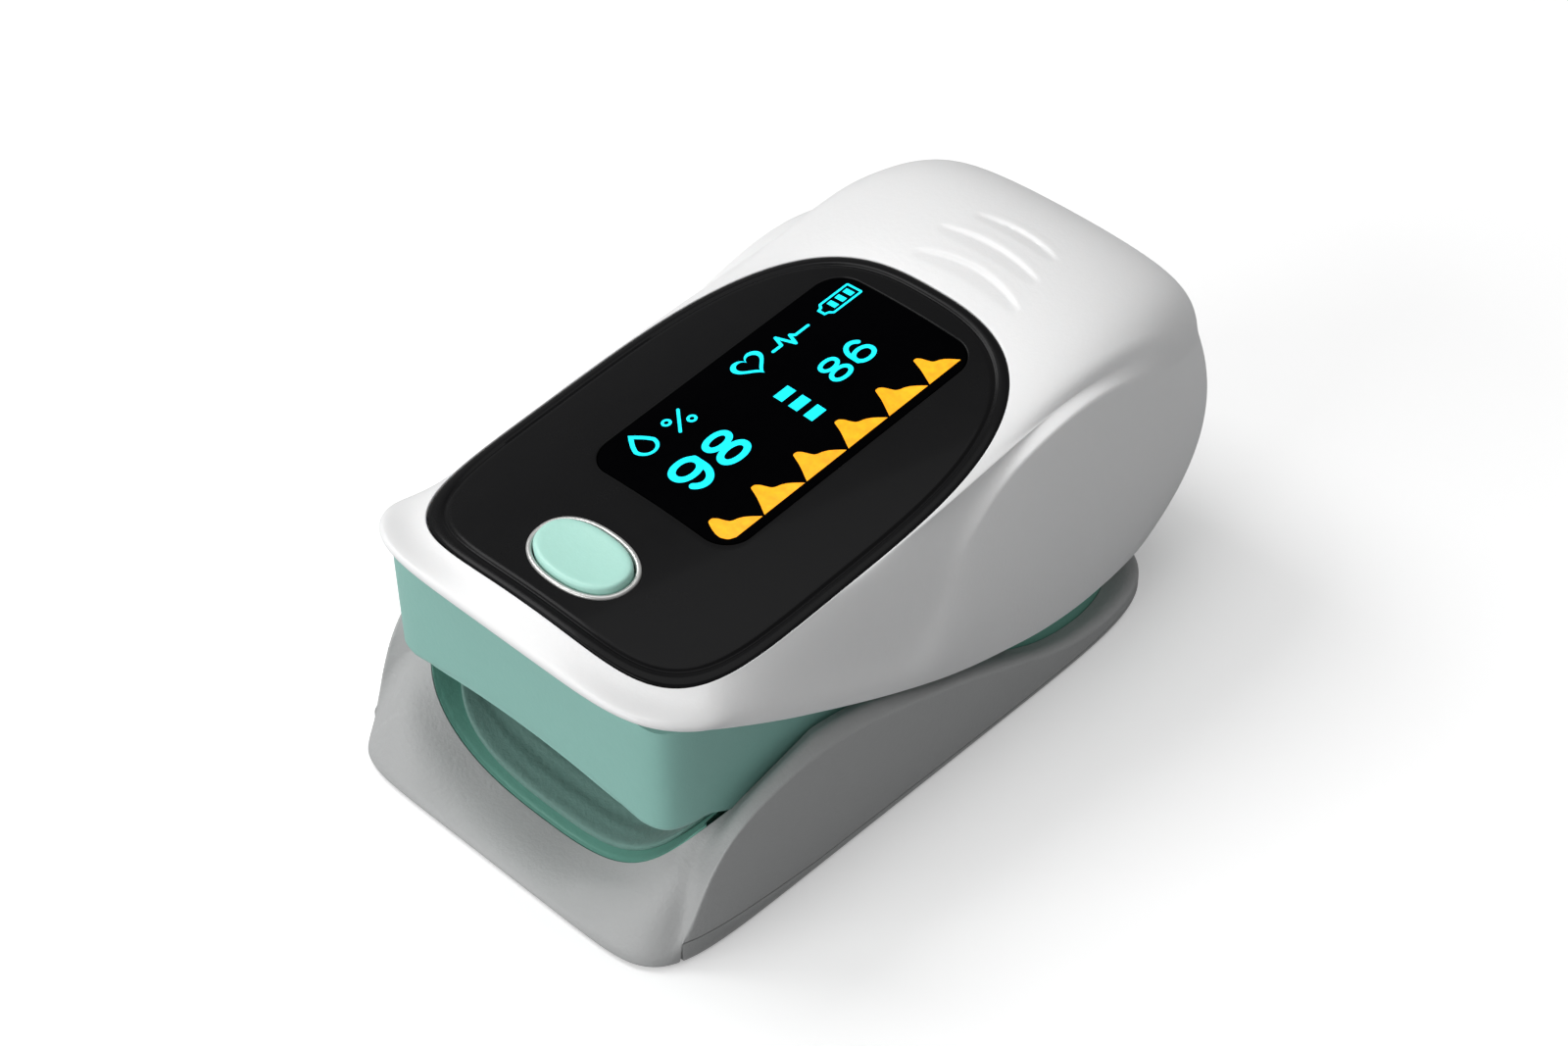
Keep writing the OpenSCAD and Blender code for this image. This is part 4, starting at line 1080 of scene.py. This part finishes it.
def inlay(name, shapes, material="display_cyan", lift=0.012):
    """Thin inlay from shapes (outline, holes) in (u, v), laid on the crowned window."""
    verts, faces = [], []
    for outline, holes in shapes:
        loops = [np.array(loop, float) for loop in (outline, *holes)]
        triangles = tessellate_polygon([[(u, v, 0) for u, v in q.tolist()] for q in loops])
        u, v = np.vstack(loops).T
        start, n = len(verts), len(u)
        verts += on_display(u, v, lift).tolist()
        verts += on_display(u, v, lift - INLAY_THICKNESS).tolist()
        for triangle in triangles:
            faces.append(tuple(start + k for k in triangle))
            faces.append(tuple(start + n + k for k in reversed(triangle)))
        for loop in loops:
            m = len(loop)
            for i in range(m):
                a, b = start + i, start + (i + 1) % m
                faces.append((a, b, n + b, n + a))
            start += m
    ob = make(name, verts, faces, MATS[material], False)
    with editing(ob) as bm:
        bmesh.ops.recalc_face_normals(bm, faces=bm.faces[:])
    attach(ob, "upper_half")


def stroke(path, width):
    """Outline of a line of some width with round ends."""
    path = np.array(path, float)
    tangent = np.gradient(path, axis=0)
    tangent /= np.linalg.norm(tangent, axis=1)[:, None]
    normal = np.c_[-tangent[:, 1], tangent[:, 0]]

    def cap(end, side):
        t = math.atan2(side[1], side[0]) - np.pi * np.arange(1, 8) / 8
        return end + width / 2 * np.c_[np.cos(t), np.sin(t)]

    left, right = path + normal * width / 2, path - normal * width / 2
    return np.vstack([left, cap(path[-1], normal[-1]), right[::-1], cap(path[0], -normal[0])])


def ellipse(u, v, radius_u, radius_v, count=48, power=2.0):
    c, s = np.cos(turn(count)), np.sin(turn(count))
    r = 1 / (np.abs(c) ** power + np.abs(s) ** power) ** (1 / power)
    return np.c_[u + radius_u * r * c, v + radius_v * r * s]


def rectangle(u0, v0, u1, v1):
    return ([(u0, v0), (u1, v0), (u1, v1), (u0, v1)], [])


def digit(char, u, v, width, height, line):
    """Rounded bold 8, 6 or 9 with its left foot at (u, v)."""
    mid = u + width / 2
    half = width / 2
    if char == "8":
        r1, r2 = height * 0.27, height * 0.235
        low, high = v + r1, v + height - r2
        return [
            (ellipse(mid, low, half, r1, power=2.15),
             [ellipse(mid, low, half - line, r1 - line * 0.86, power=2.1)[::-1]]),
            (ellipse(mid, high, half * 0.9, r2 + line * 0.08, power=2.15),
             [ellipse(mid, high, half * 0.9 - line * 0.95, r2 - line * 0.75,
                      power=2.1)[::-1]])]
    # a bowl and a hooked stem make a 6
    r1 = height * 0.315
    low = v + r1
    t = np.linspace(math.radians(180), math.radians(42), 26)
    hook_u, hook_v = half - line / 2, height * 0.5 - line / 2
    hook = np.c_[mid + hook_u * np.cos(t), v + height / 2 + hook_v * np.sin(t)]
    leg = np.c_[np.full(8, mid - hook_u), np.linspace(low - 0.1 * height, v + height / 2, 9)[:-1]]
    shapes = [(ellipse(mid, low, half, r1, power=2.15),
               [ellipse(mid, low, half - line, r1 - line * 0.88, power=2.1)[::-1]]),
              (stroke(np.vstack([leg, hook]), line), [])]
    if char == "9":
        # a 9 is a 6 turned half round
        turned = np.array([2 * mid, 2 * v + height])
        shapes = [(turned - outline, [turned - hole for hole in holes])
                  for outline, holes in shapes]
    return shapes


def build_battery_sign():
    u, v, line = BATTERY_U, BATTERY_V, BATTERY_STROKE
    u1, v1 = u + BATTERY_W, v + BATTERY_H
    outer = [(u + 0.3, v), (u1 - 0.12, v), (u1, v + 0.12), (u1, v1 - 0.12), (u1 - 0.12, v1),
             (u + 0.3, v1), (u, v1 - 0.35), (u - 0.35, v1 - 0.45), (u - 0.35, v + 0.45),
             (u, v + 0.35)]
    inner = [(u + 0.4, v + line), (u1 - line, v + line), (u1 - line, v1 - line),
             (u + 0.4, v1 - line), (u + line, v1 - 0.5), (u - 0.12, v1 - 0.62),
             (u - 0.12, v + 0.62), (u + line, v + 0.5)]
    shapes = [(outer, [inner[::-1]])]
    for k in range(3):
        bar_u = u + 0.75 + 0.88 * k
        shapes.append(rectangle(bar_u, v + 0.42, bar_u + 0.5, v1 - 0.42))
    inlay("display_battery_sign", shapes)


def build_oxygen_sign():
    """Droplet outline and a percent sign."""
    t = turn(60)
    c = np.cos(t)
    u = DROPLET_U + DROPLET_RADIUS * 0.95 * np.sin(t) * np.where(c > 0, (1 - c) ** 0.55, 1)
    v = DROPLET_V + np.where(c > 0, 1.8, DROPLET_RADIUS) * c
    hole = np.c_[DROPLET_U + (u - DROPLET_U) * 0.68, DROPLET_V + (v - DROPLET_V) * 0.7 - 0.08]
    shapes = [(np.c_[u, v], [hole[::-1]]), (stroke([(-6.6, 3.85), (-5.0, 5.75)], 0.26), [])]
    for u, v in ((-6.55, 5.4), (-5.05, 4.2)):
        shapes.append((ellipse(u, v, 0.42, 0.42, 24), [ellipse(u, v, 0.19, 0.19, 24)[::-1]]))
    inlay("display_sign_oxygen", shapes, lift=0.011)


def build_pulse_sign():
    """Heart outline and a short pulse line."""
    t = turn(60)
    u = 16 * np.sin(t) ** 3
    v = 13 * np.cos(t) - 5 * np.cos(2 * t) - 2 * np.cos(3 * t) - np.cos(4 * t)
    outer = np.c_[HEART_U + u * 0.092, HEART_V + v * 0.092]
    inner = np.c_[HEART_U + u * 0.066, HEART_V + (v - 0.8) * 0.066 + 0.05]
    shapes = [(outer, [inner[::-1]])]
    shapes += [(stroke(ends, 0.27), []) for ends in zip(PULSE_LINE[:-1], PULSE_LINE[1:])]
    inlay("display_sign_pulse", shapes, lift=0.011)


def build_wave():
    """Pulse humps along the lower edge of the screen."""
    kernel = np.array([1, 2, 3, 2, 1], float) / 9
    shapes = []
    for k in range(HUMP_COUNT):
        hump = np.array((FIRST_RISE if k == 0 else HUMP_RISE) + HUMP_FALL)
        if k == HUMP_COUNT - 1:
            hump[:, 0] *= 0.82
        t = np.linspace(0, len(hump) - 1, 90)
        line = np.c_[tuple(np.interp(t, range(len(hump)), hump[:, c]) for c in (0, 1))]
        line[2:-2] = np.c_[tuple(np.convolve(line[:, c], kernel, "valid") for c in (0, 1))]
        line[:, 0] += HUMP_U + HUMP_PITCH * k
        line[:, 1] += HUMP_V
        shapes.append((line[::-1], []))
    inlay("display_wave", shapes, "display_amber")


def build_display():
    for ending, char, u, width, height, line, lift in DIGITS:
        inlay("display_value_" + ending, digit(char, u, DIGIT_V, width, height, line), lift=lift)
    inlay("display_bars", [rectangle(0.4, v - 0.12, 1.95, v + 0.78) for v in BAR_VS])
    build_battery_sign()
    build_oxygen_sign()
    build_pulse_sign()
    build_wave()


# ---------------------------------------------------------------- floor, light, camera
AIM = np.array([0, 0, 0.015])    # metres
FLOOR_HALF, FLOOR_Z = 3000, -0.02


def floor_material():
    """White to the camera, greyer to all other rays, and clear from below."""
    floor = Surface("pale_floor", (252, 252, 252), rough=0.7, vary=0.004, vary_scale=6,
                    bump=0.01, bump_scale=300, rough_vary=0.03)
    path = floor.node("ShaderNodeLightPath")
    camera_ray = path.outputs["Is Camera Ray"]
    other_ray = floor.calc("SUBTRACT", 1, camera_ray)
    floor.set({"Base Color": floor.mix_part(
        floor.color, srgb(178, 179, 180), other_ray, amount=1.0)})
    floor.set({"Emission Color": (1, 1, 1, 1),
               "Emission Strength": floor.calc("MULTIPLY", camera_ray, 0.22)})
    geometry = floor.node("ShaderNodeNewGeometry")
    through = floor.node("ShaderNodeBsdfTransparent")
    blend = floor.node("ShaderNodeMixShader")
    # Short rays pass, so that the underside is lit when seen from below.
    near = floor.calc("LESS_THAN", path.outputs["Ray Length"], 0.0008)
    passing = floor.calc("MULTIPLY", near, other_ray)
    clear = floor.calc("MAXIMUM", passing, geometry.outputs["Backfacing"])
    for i, source in enumerate((clear, floor.bsdf.outputs[0], through.outputs[0])):
        feed(source, blend.inputs[i])
    feed(blend.outputs[0], floor.nodes["Material Output"].inputs["Surface"])
    return floor.material


def build_floor():
    corners = [(x * FLOOR_HALF, y * FLOOR_HALF, FLOOR_Z)
               for x, y in ((-1, -1), (1, -1), (1, 1), (-1, 1))]
    make("floor", corners, [(0, 1, 2, 3)], floor_material(), False)


def set_render_look():
    scene = bpy.context.scene
    scene.view_settings.view_transform = "Standard"
    scene.view_settings.look = "None"
    scene.view_settings.exposure = 0.0
    scene.view_settings.gamma = 1.0
    # the loaded scene may have no world
    world = scene.world or bpy.data.worlds.new("World")
    scene.world = world
    world.use_nodes = True
    background = world.node_tree.nodes["Background"]
    background.inputs["Color"].default_value = (1, 1, 1, 1)
    background.inputs["Strength"].default_value = 0.34


def place_object(name, data, location, right, up, back):
    """Adds a light or camera that looks along -back."""
    ob = bpy.data.objects.new(name, data)
    bpy.context.scene.collection.objects.link(ob)
    rows = np.vstack([np.c_[right, up, back, location], [0, 0, 0, 1]])
    ob.matrix_world = Matrix(rows.tolist())
    return ob


def area_light(name, location, width, height, power):
    """Rectangular light aimed at the product, in metres and watts."""
    light = bpy.data.lights.new(name, "AREA")
    light.shape = "RECTANGLE"
    light.size, light.size_y, light.energy = width, height, power
    location = np.array(location, float)
    back = location - AIM
    back /= np.linalg.norm(back)
    right = np.cross([0, 0, 1], back)
    right /= np.linalg.norm(right)
    place_object(name, light, location, right, np.cross(back, right), back)


def add_camera():
    azimuth, elevation = math.radians(45.293), math.radians(42.5)
    roll, distance = math.radians(-1.446), 0.250
    back = np.array([math.sin(azimuth) * math.cos(elevation),
                     -math.cos(azimuth) * math.cos(elevation), math.sin(elevation)])
    level = np.array([math.cos(azimuth), math.sin(azimuth), 0])
    upright = np.cross(back, level)
    right = math.cos(roll) * level + math.sin(roll) * upright
    up = -math.sin(roll) * level + math.cos(roll) * upright
    camera = bpy.data.cameras.new("cam")
    camera.sensor_fit = "HORIZONTAL"
    camera.sensor_width = 36
    camera.lens = 75.2986575
    camera.shift_x, camera.shift_y = 0.00101, -0.00748
    camera.clip_start, camera.clip_end = 0.01, 10
    bpy.context.scene.camera = place_object(
        "cam", camera, back * distance + AIM, right, up, back)


# ---------------------------------------------------------------- build
build_upper_shell_and_hatch()
build_lower_shell()
build_base_cover()
build_jaw_wall()
build_scoop()
build_lower_pad()
build_upper_pad()
build_bezel()
build_lens()
build_button_ring()
build_button()
build_display()
build_floor()
set_render_look()
area_light("key", (-0.36, -0.06, 0.46), width=0.3, height=0.3, power=1.35)
area_light("top", (-0.05, 0.10, 0.60), width=0.4, height=0.4, power=0.6)
area_light("front", (-0.12, -0.52, 0.24), width=0.5, height=0.25, power=1.6)
add_camera()
